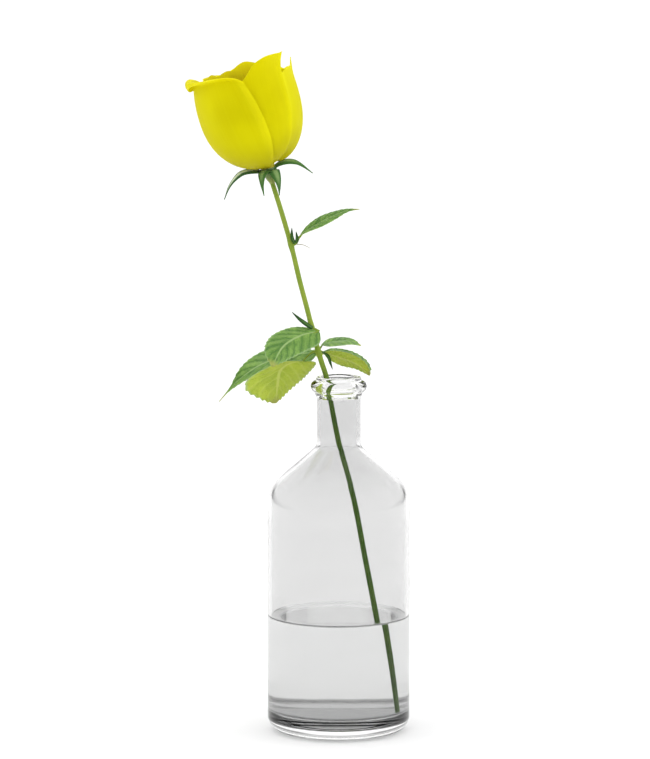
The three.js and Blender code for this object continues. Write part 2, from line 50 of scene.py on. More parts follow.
def placed(name, data):
    """A new object in the scene."""
    made = bpy.data.objects.new(name, data)
    bpy.context.scene.collection.objects.link(made)
    return made


# ---------------- camera

IMAGE_HEIGHT = 759
FOCAL_PIXELS = 5200
SENSOR = 36
VIEW_DOWN = math.radians(8)
CAMERA_DISTANCE = 2.6182
LOOK_AT = Vector((-0.0069, 0, 0.17955))


def make_camera():
    """The sensor's size goes with the longer side of the frame, its height."""
    data = bpy.data.cameras.new("camera")
    data.sensor_width = SENSOR
    data.lens = FOCAL_PIXELS * SENSOR / IMAGE_HEIGHT
    data.clip_start = 0.1
    data.clip_end = 80
    camera = placed("camera", data)
    back = Vector((0, -math.cos(VIEW_DOWN), math.sin(VIEW_DOWN)))
    camera.location = LOOK_AT + back * CAMERA_DISTANCE
    camera.rotation_euler = (math.pi / 2 - VIEW_DOWN, 0, 0)
    bpy.context.scene.camera = camera


# ---------------- numbers, curves and forms


def lerp(a, b, t):
    return a + (b - a) * t


def smooth(low, high, value):
    t = min(max((value - low) / (high - low), 0), 1)
    return t * t * (3 - 2 * t)


def bell(value, middle, width):
    return math.exp(-(((value - middle) / width) ** 2))


def spread(values, u):
    """A value for u from -1 to 1, on a smooth line through evenly spaced ones."""
    place = (u + 1) / 2 * (len(values) - 1)
    k = min(int(place), len(values) - 2)
    t = place - k
    b, c = values[k], values[k + 1]
    a = values[k - 1] if k > 0 else 2 * b - c
    d = values[k + 2] if k + 2 < len(values) else 2 * c - b
    return b + 0.5 * t * (c - a + t * (2 * a - 5 * b + 4 * c - d + t * (3 * (b - c) + d - a)))


def bend(values, t):
    """A value for t from 0 to 1 that is pulled toward each of a few in turn."""
    while len(values) > 1:
        values = [lerp(a, b, t) for a, b in zip(values, values[1:])]
    return values[0]


def sheet_grid(rows, columns, place):
    """Points of a sheet: place(v, u) for v along it from 0 to 1 and u across it from -1 to 1."""
    return [[place(i / rows, 2 * j / columns - 1) for j in range(columns + 1)] for i in range(rows + 1)]


class Curve:
    """A smooth curve through points, read by its share of the whole length."""

    STEPS = 24

    def __init__(self, points):
        knots = [Vector(p) for p in points]
        ends = [2 * knots[0] - knots[1], *knots, 2 * knots[-1] - knots[-2]]
        self.samples = [knots[0]]
        for i in range(len(knots) - 1):
            self.samples += self.segment(*ends[i : i + 4])
        self.lengths = [0]
        for a, b in zip(self.samples, self.samples[1:]):
            self.lengths.append(self.lengths[-1] + (b - a).length)

    def segment(self, p0, p1, p2, p3):
        """One centripetal Catmull-Rom stretch, from p1 to p2."""
        d0, d1, d2 = ((b - a).length ** 0.5 for a, b in ((p0, p1), (p1, p2), (p2, p3)))
        start = ((p1 - p0) / d0 - (p2 - p0) / (d0 + d1) + (p2 - p1) / d1) * d1
        stop = ((p2 - p1) / d1 - (p3 - p1) / (d1 + d2) + (p3 - p2) / d2) * d1
        made = []
        for k in range(1, self.STEPS + 1):
            s = k / self.STEPS
            made.append(
                p1 * (2 * s**3 - 3 * s**2 + 1)
                + start * (s**3 - 2 * s**2 + s)
                + p2 * (3 * s**2 - 2 * s**3)
                + stop * (s**3 - s**2)
            )
        return made

    def at(self, t):
        goal = min(max(t, 0), 1) * self.lengths[-1]
        i = min(max(bisect_left(self.lengths, goal), 1), len(self.lengths) - 1)
        share = (goal - self.lengths[i - 1]) / (self.lengths[i] - self.lengths[i - 1])
        return self.samples[i - 1].lerp(self.samples[i], share)

    def tangent(self, t):
        return (self.at(t + 0.002) - self.at(t - 0.002)).normalized()


class Form:
    """Vertices and faces in millimetres, with marks that tell a finish where each vertex lies.

    along runs from 0 at a root to 1 at a tip or rim, across from -1 to 1, and upper is 1 on the upper
    or inner face of a sheet and past the top of a turned profile, and 0 on the other face.
    """

    def __init__(self):
        self.points = []
        self.faces = []
        self.slots = []
        self.marks = {"along": [], "across": [], "upper": []}

    def point(self, place, along, across, upper):
        self.points.append(place)
        for name, value in (("along", along), ("across", across), ("upper", upper)):
            self.marks[name].append(value)
        return len(self.points) - 1

    def face(self, corners, slot):
        self.faces.append(corners)
        self.slots.append(slot)

    def skin(self, rings, slot):
        """Faces between rings of as many points. Corners that are one point are taken once."""
        for a, b in zip(rings, rings[1:]):
            for k in range(len(a)):
                n = (k + 1) % len(a)
                corners = tuple(dict.fromkeys((a[k], a[n], b[n], b[k])))
                if len(corners) > 2:
                    self.face(corners, slot)

    def sheet(self, grid, thickness, slots=(0, 0), upper_is_face=True):
        """A closed thin sheet about a grid of points. thickness(v, u) is read for v along its rows, from
        0 to 1, and u across them, from -1 to 1. slots are the finishes of its upper and lower face."""
        rows, columns = len(grid), len(grid[0])
        sides = []
        for way in (0.5, -0.5):
            ids = []
            is_upper = 1.0 if (way > 0) == upper_is_face else 0.0
            for i in range(rows):
                for j in range(columns):
                    down = grid[min(i + 1, rows - 1)][j] - grid[max(i - 1, 0)][j]
                    over = grid[i][min(j + 1, columns - 1)] - grid[i][max(j - 1, 0)]
                    v, u = i / (rows - 1), 2 * j / (columns - 1) - 1
                    place = grid[i][j] + down.cross(over).normalized() * way * thickness(v, u)
                    ids.append(self.point(place, v, u, is_upper))
            sides.append(ids)
        front, rear = sides
        front_slot, rear_slot = slots if upper_is_face else slots[::-1]
        for i in range(rows - 1):
            for j in range(columns - 1):
                a, b = i * columns + j, (i + 1) * columns + j
                self.face((front[a], front[b], front[b + 1], front[a + 1]), front_slot)
                self.face((rear[a], rear[a + 1], rear[b + 1], rear[b]), rear_slot)
        ids = [[i * columns + j for j in range(columns)] for i in range(rows)]
        border = [row[0] for row in ids] + ids[-1][1:] + [row[-1] for row in ids[-2::-1]] + ids[0][-2:0:-1]
        for a, b in zip(border, border[1:] + border[:1]):
            self.face((front[a], rear[a], rear[b], front[b]), front_slot)

    def tube(self, curve, radius, sides, steps, slot=0):
        """A closed round tube along a curve. radius(t) is read along it."""
        tangent = curve.tangent(0)
        lean = Vector((1, 0, 0)) if abs(tangent.x) < 0.8 else Vector((0, 1, 0))
        first = tangent.cross(lean).normalized()
        rings = []
        for i in range(steps + 1):
            t = i / steps
            tangent = curve.tangent(t)
            first = (first - tangent * first.dot(tangent)).normalized()
            second = tangent.cross(first)
            ring = []
            for k in range(sides):
                angle = 2 * math.pi * k / sides
                out = first * math.cos(angle) + second * math.sin(angle)
                ring.append(self.point(curve.at(t) + out * radius(t), t, 2 * k / sides - 1, 1.0))
            rings.append(ring)
        self.skin(rings, slot)
        self.face(tuple(reversed(rings[0])), slot)
        self.face(tuple(rings[-1]), slot)

    def turned(self, profile, segments, slot=0):
        """A profile of (radius, height) points turned about the Z axis. It starts and ends on the axis."""
        rings = []
        heights = [height for _, height in profile]
        turn = heights.index(max(heights))
        for k, (radius, height) in enumerate(profile):
            along = k / (len(profile) - 1)
            inside = float(k > turn)
            if radius < 1e-6:
                rings.append([self.point(Vector((0, 0, height)), along, 0.0, inside)] * segments)
                continue
            ring = []
            for n in range(segments):
                angle = 2 * math.pi * n / segments
                place = Vector((radius * math.cos(angle), radius * math.sin(angle), height))
                ring.append(self.point(place, along, 2 * n / segments - 1, inside))
            rings.append(ring)
        self.skin(rings, slot)

    def build(self, name, materials, place=Matrix.Identity(4), sharp=40):
        mesh = bpy.data.meshes.new(name)
        mesh.from_pydata([(place @ p) * MM for p in self.points], [], self.faces)
        for material in materials:
            mesh.materials.append(material)
        mesh.polygons.foreach_set("material_index", self.slots)
        mesh.polygons.foreach_set("use_smooth", [True] * len(self.faces))
        mesh.set_sharp_from_angle(angle=math.radians(sharp))
        for mark, values in self.marks.items():
            layer = mesh.attributes.new(mark, "FLOAT", "POINT")
            layer.data.foreach_set("value", values)
        mesh.validate()
        return placed(name, mesh)


def stands_for(piece, slot, *nodes):
    """The piece rides on the part's one body and stands for CAD nodes. The slot is not used."""
    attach(piece, "root")
    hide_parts(*nodes)


# ---------------- finishes


class Nodes:
    """Short calls for the nodes of a tree."""

    def __init__(self, tree):
        self.tree = tree
        self.nodes = tree.nodes
        self.nodes.clear()

    def link(self, source, target):
        self.tree.links.new(source, target)

    def feed(self, value, target):
        if isinstance(value, bpy.types.NodeSocket):
            self.link(value, target)
        else:
            target.default_value = value

    def mark(self, name):
        node = self.nodes.new("ShaderNodeAttribute")
        node.attribute_name = name
        return node.outputs["Fac"]

    def place(self):
        """The point in the part's own frame, in millimetres."""
        node = self.nodes.new("ShaderNodeTexCoord")
        scaled = self.nodes.new("ShaderNodeVectorMath")
        scaled.operation = "SCALE"
        scaled.inputs["Scale"].default_value = 1 / MM
        self.link(node.outputs["Object"], scaled.inputs[0])
        return scaled.outputs[0]

    def axes(self, vector):
        node = self.nodes.new("ShaderNodeSeparateXYZ")
        self.link(vector, node.inputs[0])
        return tuple(node.outputs)

    def vector(self, x, y):
        node = self.nodes.new("ShaderNodeCombineXYZ")
        self.feed(x, node.inputs[0])
        self.feed(y, node.inputs[1])
        return node.outputs[0]

    def noise(self, vector, scale, detail=3.0, rough=0.5):
        node = self.nodes.new("ShaderNodeTexNoise")
        self.feed(vector, node.inputs["Vector"])
        node.inputs["Scale"].default_value = scale
        node.inputs["Detail"].default_value = detail
        node.inputs["Roughness"].default_value = rough
        return node.outputs["Fac"]

    def cells(self, vector, scale):
        """Distance to the edge of the nearest cell of an irregular net."""
        node = self.nodes.new("ShaderNodeTexVoronoi")
        node.feature = "DISTANCE_TO_EDGE"
        self.feed(vector, node.inputs["Vector"])
        node.inputs["Scale"].default_value = scale
        return node.outputs["Distance"]

    def math(self, operation, a, b=0.0):
        node = self.nodes.new("ShaderNodeMath")
        node.operation = operation
        self.feed(a, node.inputs[0])
        self.feed(b, node.inputs[1])
        return node.outputs[0]

    def times(self, a, b):
        return self.math("MULTIPLY", a, b)

    def plus(self, a, b):
        return self.math("ADD", a, b)

    def minus(self, a, b):
        return self.math("SUBTRACT", a, b)

    def ease(self, value, low, high, to_low=0.0, to_high=1.0, kind="SMOOTHSTEP"):
        node = self.nodes.new("ShaderNodeMapRange")
        node.interpolation_type = kind
        limits = {"From Min": low, "From Max": high, "To Min": to_low, "To Max": to_high}
        for name, number in limits.items():
            node.inputs[name].default_value = number
        self.feed(value, node.inputs["Value"])
        return node.outputs[0]

    def ramp(self, value, stops):
        """A grey read between stops of (value, grey)."""
        low, high = stops[0][0], stops[-1][0]
        node = self.nodes.new("ShaderNodeValToRGB")
        self.link(self.ease(value, low, high, kind="LINEAR"), node.inputs[0])
        elements = node.color_ramp.elements
        while len(elements) < len(stops):
            elements.new(0.5)
        for element, (at, grey) in zip(elements, stops):
            element.position = (at - low) / (high - low)
            element.color = (grey, grey, grey, 1.0)
        return node.outputs[0]

    def mix(self, share, a, b):
        node = self.nodes.new("ShaderNodeMix")
        node.data_type = "RGBA"
        self.feed(share, node.inputs["Factor"])
        self.feed(a, node.inputs[6])
        self.feed(b, node.inputs[7])
        return node.outputs[2]


class Finish(Nodes):
    """A material with one Principled shader."""

    def __init__(self, name, **sockets):
        self.material = bpy.data.materials.new(name)
        self.material.use_nodes = True
        super().__init__(self.material.node_tree)
        self.output = self.nodes.new("ShaderNodeOutputMaterial")
        self.shader = self.nodes.new("ShaderNodeBsdfPrincipled")
        self.link(self.shader.outputs[0], self.output.inputs["Surface"])
        for socket, value in sockets.items():
            self.shader.inputs[socket.replace("_", " ")].default_value = value

    def bump(self, height, distance, strength=1.0):
        """Relief from a height of 0 to 1, as deep as a distance in millimetres."""
        node = self.nodes.new("ShaderNodeBump")
        node.inputs["Strength"].default_value = strength
        node.inputs["Distance"].default_value = distance * MM
        self.feed(height, node.inputs["Height"])
        self.link(node.outputs[0], self.shader.inputs["Normal"])

    def colour(self, socket):
        self.link(socket, self.shader.inputs["Base Color"])

    def roughness(self, socket):
        self.link(socket, self.shader.inputs["Roughness"])

    def blend(self, share, other):
        """Another shader takes a share of the surface."""
        node = self.nodes.new("ShaderNodeMixShader")
        self.feed(share, node.inputs[0])
        self.link(self.shader.outputs[0], node.inputs[1])
        self.link(other.outputs[0], node.inputs[2])
        self.link(node.outputs[0], self.output.inputs["Surface"])

    def lets_light_through(self, colour, share):
        """A share of the light that meets a thin face comes out on its other side, softly spread."""
        through = self.nodes.new("ShaderNodeBsdfTranslucent")
        self.feed(colour, through.inputs["Color"])
        self.blend(share, through)

    def lets_lamps_through(self, tint, share=None):
        """Rays from lamps pass straight through, so that what stands behind the glass is lit. So does a
        share of all other rays, where one is given."""
        straight = self.nodes.new("ShaderNodeLightPath").outputs["Is Shadow Ray"]
        if share is not None:
            straight = self.math("MAXIMUM", straight, share)
        clear = self.nodes.new("ShaderNodeBsdfTransparent")
        clear.inputs["Color"].default_value = tint
        self.blend(straight, clear)


def rgb(red, green, blue):
    return (red, green, blue, 1.0)


WATER_TINT = rgb(0.985, 0.99, 0.99)
DIM_GLOSS = rgb(0.15, 0.15, 0.15)
# Painted shade: how dark the glass is painted for a look straight through the bottle's body, neck, bead
# and base, standing in for the darker studio and the shadowed floor seen through it.
THROUGH = 0.645
HALF_THROUGH = THROUGH**0.5
NECK_THROUGH = 0.58
BEAD_THROUGH = 0.92
BASE_THROUGH = 0.32
# Heights between which the dimming passes from one value to the next.
SHOULDER_MIDDLE = 130
SHOULDER_END = 145
NECK_START = 151
NECK_END = 170
BEAD_START = 173


def glass_finish():
    """Clear glass with the faint unevenness of a blown wall and a breath of haze. Its colour carries painted
    shade: a look straight through is dimmed at the outer face of the neck and below the water, at the inner
    face of the shoulder, and half at each between. The neck and the upper shoulder are painted a little
    darker and the thick base darkest, for the shade seen through them."""
    f = Finish("clear_glass", IOR=1.5, Transmission_Weight=1.0, Specular_Tint=DIM_GLOSS)
    height = f.axes(f.place())[2]
    base = FLOOR_THICKNESS
    outer = [
        (0, 1.0),
        (HEEL_RADIUS - 0.5, 1.0),
        (HEEL_RADIUS, BASE_THROUGH),
        (base - 0.5, BASE_THROUGH),
        (base + 0.5, THROUGH),
        (WATER_LEVEL - 1, THROUGH),
        (WATER_LEVEL + 1, HALF_THROUGH),
        (SHOULDER_START - 8, HALF_THROUGH),
        (SHOULDER_START + 2, 1.0),
        (SHOULDER_END, 1.0),
        (NECK_START, NECK_THROUGH),
        (NECK_END, NECK_THROUGH),
        (BEAD_START, BEAD_THROUGH),
        (BOTTLE_HEIGHT, BEAD_THROUGH),
    ]
    inner = [
        (0, BASE_THROUGH),
        (base + 1, BASE_THROUGH),
        (base + 1.5, 1.0),
        (WATER_LEVEL - 1, 1.0),
        (WATER_LEVEL + 1, HALF_THROUGH),
        (SHOULDER_START - 8, HALF_THROUGH),
        (SHOULDER_START + 2, THROUGH),
        (SHOULDER_MIDDLE, NECK_THROUGH),
        (SHOULDER_END, NECK_THROUGH),
        (NECK_START, 1.0),
        (BOTTLE_HEIGHT, 1.0),
    ]
    # painted shade: the glass's colour darkens by height for the grey seen through it
    f.colour(f.mix(f.mark("upper"), f.ramp(height, outer), f.ramp(height, inner)))
    wall = f.noise(f.place(), 0.05, detail=2.0)
    f.bump(wall, 0.25, strength=0.2)
    haze = f.noise(f.place(), 0.4, detail=4.0)
    f.roughness(f.ease(haze, 0.5, 0.85, 0.0, 0.02))
    f.lets_lamps_through(rgb(0.9, 0.9, 0.9))
    return f.material


# How much of the water's surface is seen straight through in the middle and at the wall, how much the
# white painted highlight covers at the wall, and the radii between which they change.
MIDDLE_CLEAR = 0.75
WALL_CLEAR = 0.2
WALL_PAINTED_HIGHLIGHT = 0.75
VEIL_REACH = 24, 32


def water_finish():
    """Clear water with the slightest ripple. Its surface is seen through more than it bends the light,
    so that it doesn't stand out as a dark disc, and toward the wall a bright white layer of painted
    highlight lies over it."""
    f = Finish(
        "clear_water",
        Base_Color=WATER_TINT,
        IOR=1.333,
        Transmission_Weight=1.0,
        Specular_Tint=DIM_GLOSS,
    )
    surface = f.mark("upper")
    f.bump(f.noise(f.place(), 0.12, detail=1.0), 0.1, strength=0.3)
    f.roughness(f.ease(f.noise(f.place(), 0.3), 0.4, 0.9, 0.0, 0.01))
    x, y, _ = f.axes(f.place())
    radius = f.math("SQRT", f.plus(f.times(x, x), f.times(y, y)))
    # painted highlight: near the wall less light passes the surface, and its white base colour shows
    painted_highlight = f.times(surface, f.ease(radius, *VEIL_REACH, 0.0, WALL_PAINTED_HIGHLIGHT))
    f.link(f.minus(1.0, painted_highlight), f.shader.inputs["Transmission Weight"])
    clear = f.times(surface, f.ease(radius, *VEIL_REACH, MIDDLE_CLEAR, WALL_CLEAR))
    f.lets_lamps_through(rgb(0.93, 0.93, 0.93), clear)
    return f.material


PETAL_BODY = rgb(0.90, 0.855, 0.003)
# painted light: a lighter yellow for the petals that are lit from behind
PETAL_PAINTED_BACKLIGHT = rgb(0.94, 0.91, 0.006)
PETAL_SHADE = rgb(0.84, 0.785, 0.002)
# painted shade: a darker yellow for the inner petals, deep in the cup
PETAL_PAINTED_INNER_SHADE = rgb(0.76, 0.66, 0.01)
PETAL_RIM = rgb(0.99, 0.97, 0.02)
PETAL_ROOT = rgb(0.60, 0.54, 0.01)
PETAL_GLOW = rgb(0.9, 0.85, 0.05)
PETAL_CLEAR = 0.45


def petal_finish(name, bright, shade, paleness):
    """Soft yellow petal with fine veins fanning from its root, a paler rim, and a claw painted duller, as
    painted shade low in the cup. Some of the light passes each face, so that a petal glows where there is
    light behind it."""
    f = Finish(
        name,
        Specular_IOR_Level=0.2,
        Specular_Tint=PETAL_GLOW,
        Sheen_Weight=0.15,
        Sheen_Roughness=0.4,
        Sheen_Tint=PETAL_GLOW,
    )
    along, across = f.mark("along"), f.mark("across")
    fan = f.vector(f.times(across, 26.0), f.times(along, 1.6))
    veins = f.noise(fan, 1.0, detail=4.0, rough=0.6)
    cloud = f.noise(f.place(), 0.05, detail=1.0)
    body = f.mix(f.ease(cloud, 0.3, 0.7), shade, bright)
    body = f.mix(f.ease(veins, 0.35, 0.75, 0.0, 0.18), body, PETAL_RIM)
    side = f.ease(f.math("ABSOLUTE", across), 0.76, 1.0)
    margin = f.math("MAXIMUM", side, f.ease(along, 0.88, 1.0))
    # paler margins; a full paleness, as on the back petals, is partly painted glow
    body = f.mix(f.times(margin, paleness), body, PETAL_RIM)
    # painted shade: darker toward the root, low in the cup
    body = f.mix(f.ease(along, 0.0, 0.35, 0.8, 0.0), body, PETAL_ROOT)
    f.colour(body)
    f.roughness(f.ease(veins, 0.2, 0.8, 0.66, 0.52))
    grain = f.noise(f.place(), 3.0, detail=2.0)
    relief = f.plus(f.times(veins, 0.8), f.times(grain, 0.25))
    f.bump(relief, 0.12, strength=0.4)
    f.lets_light_through(body, PETAL_CLEAR)
    return f.material


SIDE_VEINS = 7
VEIN_SWEEP = 1.9
VEIN_BEND = 1.25
LEAF_STRAW = rgb(0.42, 0.43, 0.10)
LEAF_EDGE = rgb(0.40, 0.54, 0.28)


def side_vein_nodes(f):
    """How near a place on a blade is to a side vein, as side_vein() works it out for the shape."""
    across = f.math("ABSOLUTE", f.mark("across"))
    sweep = f.times(f.math("POWER", across, VEIN_BEND), VEIN_SWEEP)
    phase = f.minus(f.times(f.mark("along"), float(SIDE_VEINS)), sweep)
    wobble = f.times(f.noise(f.place(), 0.35, detail=2.0), 0.35)
    turn = f.math("FRACT", f.plus(phase, wobble))
    return f.math("ABSOLUTE", f.minus(f.times(turn, 2.0), 1.0)), across


def blade_finish(name, colours, midrib_colour, vein_colour, relief, gloss):
    """A leaf face: mottled between two greens, painted lighter between its side veins where the quilted
    blade bulges into the light, with a midrib, a fine net and a straw-coloured tip."""
    f = Finish(
        name,
        Subsurface_Weight=0.12,
        Subsurface_Radius=(0.6, 1.0, 0.15),
        Subsurface_Scale=0.8 * MM,
        Specular_IOR_Level=0.3,
        Sheen_Weight=0.05,
    )
    side, across = side_vein_nodes(f)
    net = f.cells(f.place(), 0.85)
    cloud = f.noise(f.place(), 0.16, detail=4.0, rough=0.65)
    # painted highlight: lighter midway between the side veins, on the bulges
    between = f.times(f.ease(side, 0.0, 0.7, 0.6, 0.0), f.ease(across, 0.1, 0.4))
    body = f.mix(f.math("MAXIMUM", f.ease(cloud, 0.3, 0.72), between), *colours)
    # the vein colour is the underside's own paler veins, and on the upper face painted shade in sunken veins
    body = f.mix(f.ease(net, 0.0, 0.12, 0.3, 0.0), body, vein_colour)
    side_line = f.ease(side, 0.55, 1.0, 0.0, 0.7)
    body = f.mix(side_line, body, vein_colour)
    midrib = f.ease(across, 0.03, 0.085, 0.85, 0.0)
    body = f.mix(midrib, body, midrib_colour)
    body = f.mix(f.ease(across, 0.9, 0.99, 0.0, 0.5), body, LEAF_EDGE)
    body = f.mix(f.ease(f.mark("along"), 0.86, 0.97, 0.0, 0.8), body, LEAF_STRAW)
    f.colour(body)
    f.roughness(f.ease(cloud, 0.3, 0.7, gloss, gloss + 0.16))
    lines = f.math("MAXIMUM", side_line, midrib)
    height = f.minus(f.ease(net, 0.0, 0.3, 0.0, 0.5), f.times(lines, relief))
    f.bump(height, 0.3, strength=0.7)
    return f.material


def stem_finish():
    """Smooth bark with long fibres: yellow-green above the bottle, and painted deeper inside it as painted
    shade, where the glass dims the light.
    """
    f = Finish("stem_bark", Specular_IOR_Level=0.3, Subsurface_Weight=0.05, Subsurface_Scale=0.5 * MM)
    along, around, height = f.mark("along"), f.mark("across"), f.axes(f.place())[2]
    fibres = f.noise(f.vector(f.times(around, 7.0), f.times(along, 26.0)), 1.0)
    cloud = f.noise(f.place(), 0.09, detail=3.0)
    light = f.mix(f.ease(cloud, 0.3, 0.7), rgb(0.17, 0.27, 0.018), rgb(0.25, 0.34, 0.03))
    deep = f.mix(f.ease(cloud, 0.3, 0.7), rgb(0.035, 0.10, 0.001), rgb(0.065, 0.14, 0.002))
    # painted shade: the stem is painted darker green inside the bottle
    body = f.mix(f.ease(height, BOTTLE_HEIGHT - 12, BOTTLE_HEIGHT + 12), deep, light)
    body = f.mix(f.ease(fibres, 0.5, 0.8, 0.0, 0.25), body, rgb(0.30, 0.34, 0.06))
    flecks = f.noise(f.place(), 1.6, detail=1.0)
    body = f.mix(f.ease(flecks, 0.66, 0.74, 0.0, 0.2), body, rgb(0.40, 0.42, 0.15))
    f.colour(body)
    f.roughness(f.ease(fibres, 0.3, 0.7, 0.42, 0.58))
    f.bump(fibres, 0.12, strength=0.6)
    return f.material


def pith_finish():
    """The pale, wet cut end of the stem, with its rings."""
    f = Finish("stem_cut", Roughness=0.5, Specular_IOR_Level=0.5)
    rings = f.noise(f.place(), 1.4, detail=3.0)
    f.colour(f.mix(f.ease(rings, 0.35, 0.65), rgb(0.52, 0.55, 0.28), rgb(0.66, 0.66, 0.44)))
    f.bump(rings, 0.1, strength=0.5)
    return f.material


def bract_finish(name, margin, middle, reach, gloss):
    """A sepal or stipule face: dark margins, a paler middle as far as its reach, and fine long veins."""
    f = Finish(name, Specular_IOR_Level=0.15, Sheen_Weight=0.05, Sheen_Roughness=0.5)
    along, across = f.mark("along"), f.mark("across")
    fan = f.vector(f.times(across, 5.0), f.times(along, 2.0))
    veins = f.noise(fan, 1.0, detail=3.0)
    down = f.noise(f.place(), 2.6, detail=2.0)
    edge = f.plus(f.math("ABSOLUTE", across), f.times(veins, 0.3))
    body = f.mix(f.ease(edge, 0.3, 0.75), middle, margin)
    body = f.mix(f.ease(along, reach - 0.4, reach), body, margin)
    body = f.mix(f.ease(down, 0.5, 0.8, 0.0, 0.2), body, middle)
    f.colour(body)
    f.roughness(f.ease(down, 0.3, 0.7, gloss, gloss + 0.15))
    f.bump(f.plus(veins, f.times(down, 0.5)), 0.14, strength=0.6)
    return f.material


def hip_finish():
    """The hip: olive where it meets the stem, greener and downy under the sepals, and yellow where the
    petals leave it."""
    f = Finish("hip_skin", Specular_IOR_Level=0.4, Sheen_Weight=0.2)
    along = f.mark("along")
    mottle = f.noise(f.place(), 0.8, detail=4.0)
    body = f.mix(f.ease(along, 0.1, 0.5), rgb(0.24, 0.29, 0.05), rgb(0.07, 0.15, 0.035))
    body = f.mix(f.ease(mottle, 0.4, 0.7, 0.0, 0.35), body, rgb(0.30, 0.33, 0.10))
    body = f.mix(f.ease(along, 0.66, 0.78), body, PETAL_ROOT)
    f.colour(body)
    f.roughness(f.ease(mottle, 0.3, 0.7, 0.45, 0.6))
    f.bump(mottle, 0.12, strength=0.5)
    return f.material


def floor_finish():
    f = Finish("pale_floor", Roughness=0.9, Specular_IOR_Level=0.0)
    grain = f.noise(f.place(), 0.02, detail=3.0)
    f.colour(f.mix(f.ease(grain, 0.3, 0.7), rgb(0.90, 0.90, 0.90), rgb(0.92, 0.92, 0.92)))
    return f.material


# ---------------- bottle and water

BOTTLE_HEIGHT = 181
BODY_RADIUS = 36
WALL = 1.8
FLOOR_THICKNESS = 11
HEEL_RADIUS = 8
SHOULDER_START = 115
SHOULDER_RADIUS = 20
SHOULDER_TURN = 49
NECK_RADIUS = 11.1
NECK_BORE = 9.3
NECK_FILLET = 4
BEAD_RADIUS = 14.2
BEAD_HALF_HEIGHT = 2.9
BEAD_HEIGHT = 176.2
BEAD_ARC = -66, 78
LIP_RADIUS = 11.4
LIP_BORE = 8.8
LIP_ROUND = 0.9
FLOOR_FILLET = 2.2
GLASS_SEGMENTS = 192

WATER_LEVEL = 58.5
MENISCUS_RISE = 1.4
MENISCUS_FALL = 3.5 / 3
STEM_MENISCUS_RISE = 0.7
STEM_MENISCUS_FALL = 0.9
WETTING = 0.12


def arc(radius, height, size, start, stop, steps=24):
    """Points of an arc in a turned profile, between two angles in degrees."""
    points = []
    for k in range(steps + 1):
        angle = math.radians(lerp(start, stop, k / steps))
        points.append((radius + size * math.cos(angle), height + size * math.sin(angle)))
    return points


def held(profile, length=2.0, margin=0.2):
    """The profile with a point close to both ends of each long straight, so that a curve's shading stays
    off the straight beside it."""
    points = [profile[0]]
    for (r0, z0), (r1, z1) in zip(profile, profile[1:]):
        size = math.hypot(r1 - r0, z1 - z0)
        if size > length:
            for share in (margin / size, 1 - margin / size):
                points.append((lerp(r0, r1, share), lerp(z0, z1, share)))
        points.append((r1, z1))
    return points


def shoulder_fillet():
    """Centre of the fillet where the cone of the shoulder turns up into the neck."""
    turn = math.radians(SHOULDER_TURN)
    end_radius = BODY_RADIUS - SHOULDER_RADIUS * (1 - math.cos(turn))
    end_height = SHOULDER_START + SHOULDER_RADIUS * math.sin(turn)
    centre = NECK_RADIUS + NECK_FILLET
    meeting = centre - NECK_FILLET * math.cos(turn)
    run = (end_radius - meeting) / math.sin(turn)
    return centre, end_height + run * math.cos(turn) + NECK_FILLET * math.sin(turn)


def make_bottle():
    """The profile runs from the foot up the outer face, over the lip and down the inner face."""
    fillet, fillet_height = shoulder_fillet()
    shoulder = BODY_RADIUS - SHOULDER_RADIUS
    lip_middle = BOTTLE_HEIGHT - LIP_ROUND
    inner = BODY_RADIUS - WALL - FLOOR_FILLET
    under_bead = BEAD_HEIGHT - 2 * BEAD_HALF_HEIGHT
    profile = [
        (0, 0),
        *arc(BODY_RADIUS - HEEL_RADIUS, HEEL_RADIUS, HEEL_RADIUS, -90, 0),
        *arc(shoulder, SHOULDER_START, SHOULDER_RADIUS, 0, SHOULDER_TURN),
        *arc(fillet, fillet_height, NECK_FILLET, 180 + SHOULDER_TURN, 180, 14),
        (NECK_RADIUS, under_bead),
        *arc(BEAD_RADIUS - BEAD_HALF_HEIGHT, BEAD_HEIGHT, BEAD_HALF_HEIGHT, *BEAD_ARC),
        *arc(LIP_RADIUS - LIP_ROUND, lip_middle, LIP_ROUND, 0, 90, 12),
        *arc(LIP_BORE + LIP_ROUND, lip_middle, LIP_ROUND, 90, 180, 12),
        (NECK_BORE, under_bead),
        *arc(fillet, fillet_height, fillet - NECK_BORE, 180, 180 + SHOULDER_TURN, 14),
        *arc(shoulder, SHOULDER_START, SHOULDER_RADIUS - WALL, SHOULDER_TURN, 0),
        *arc(inner, FLOOR_THICKNESS + FLOOR_FILLET, FLOOR_FILLET, 0, -90, 18),
        (0, FLOOR_THICKNESS),
    ]
    form = Form()
    form.turned(held(profile), GLASS_SEGMENTS)
    piece = form.build("bottle_glass", [glass_finish()], sharp=60)
    stands_for(piece, "glass", "bottle")


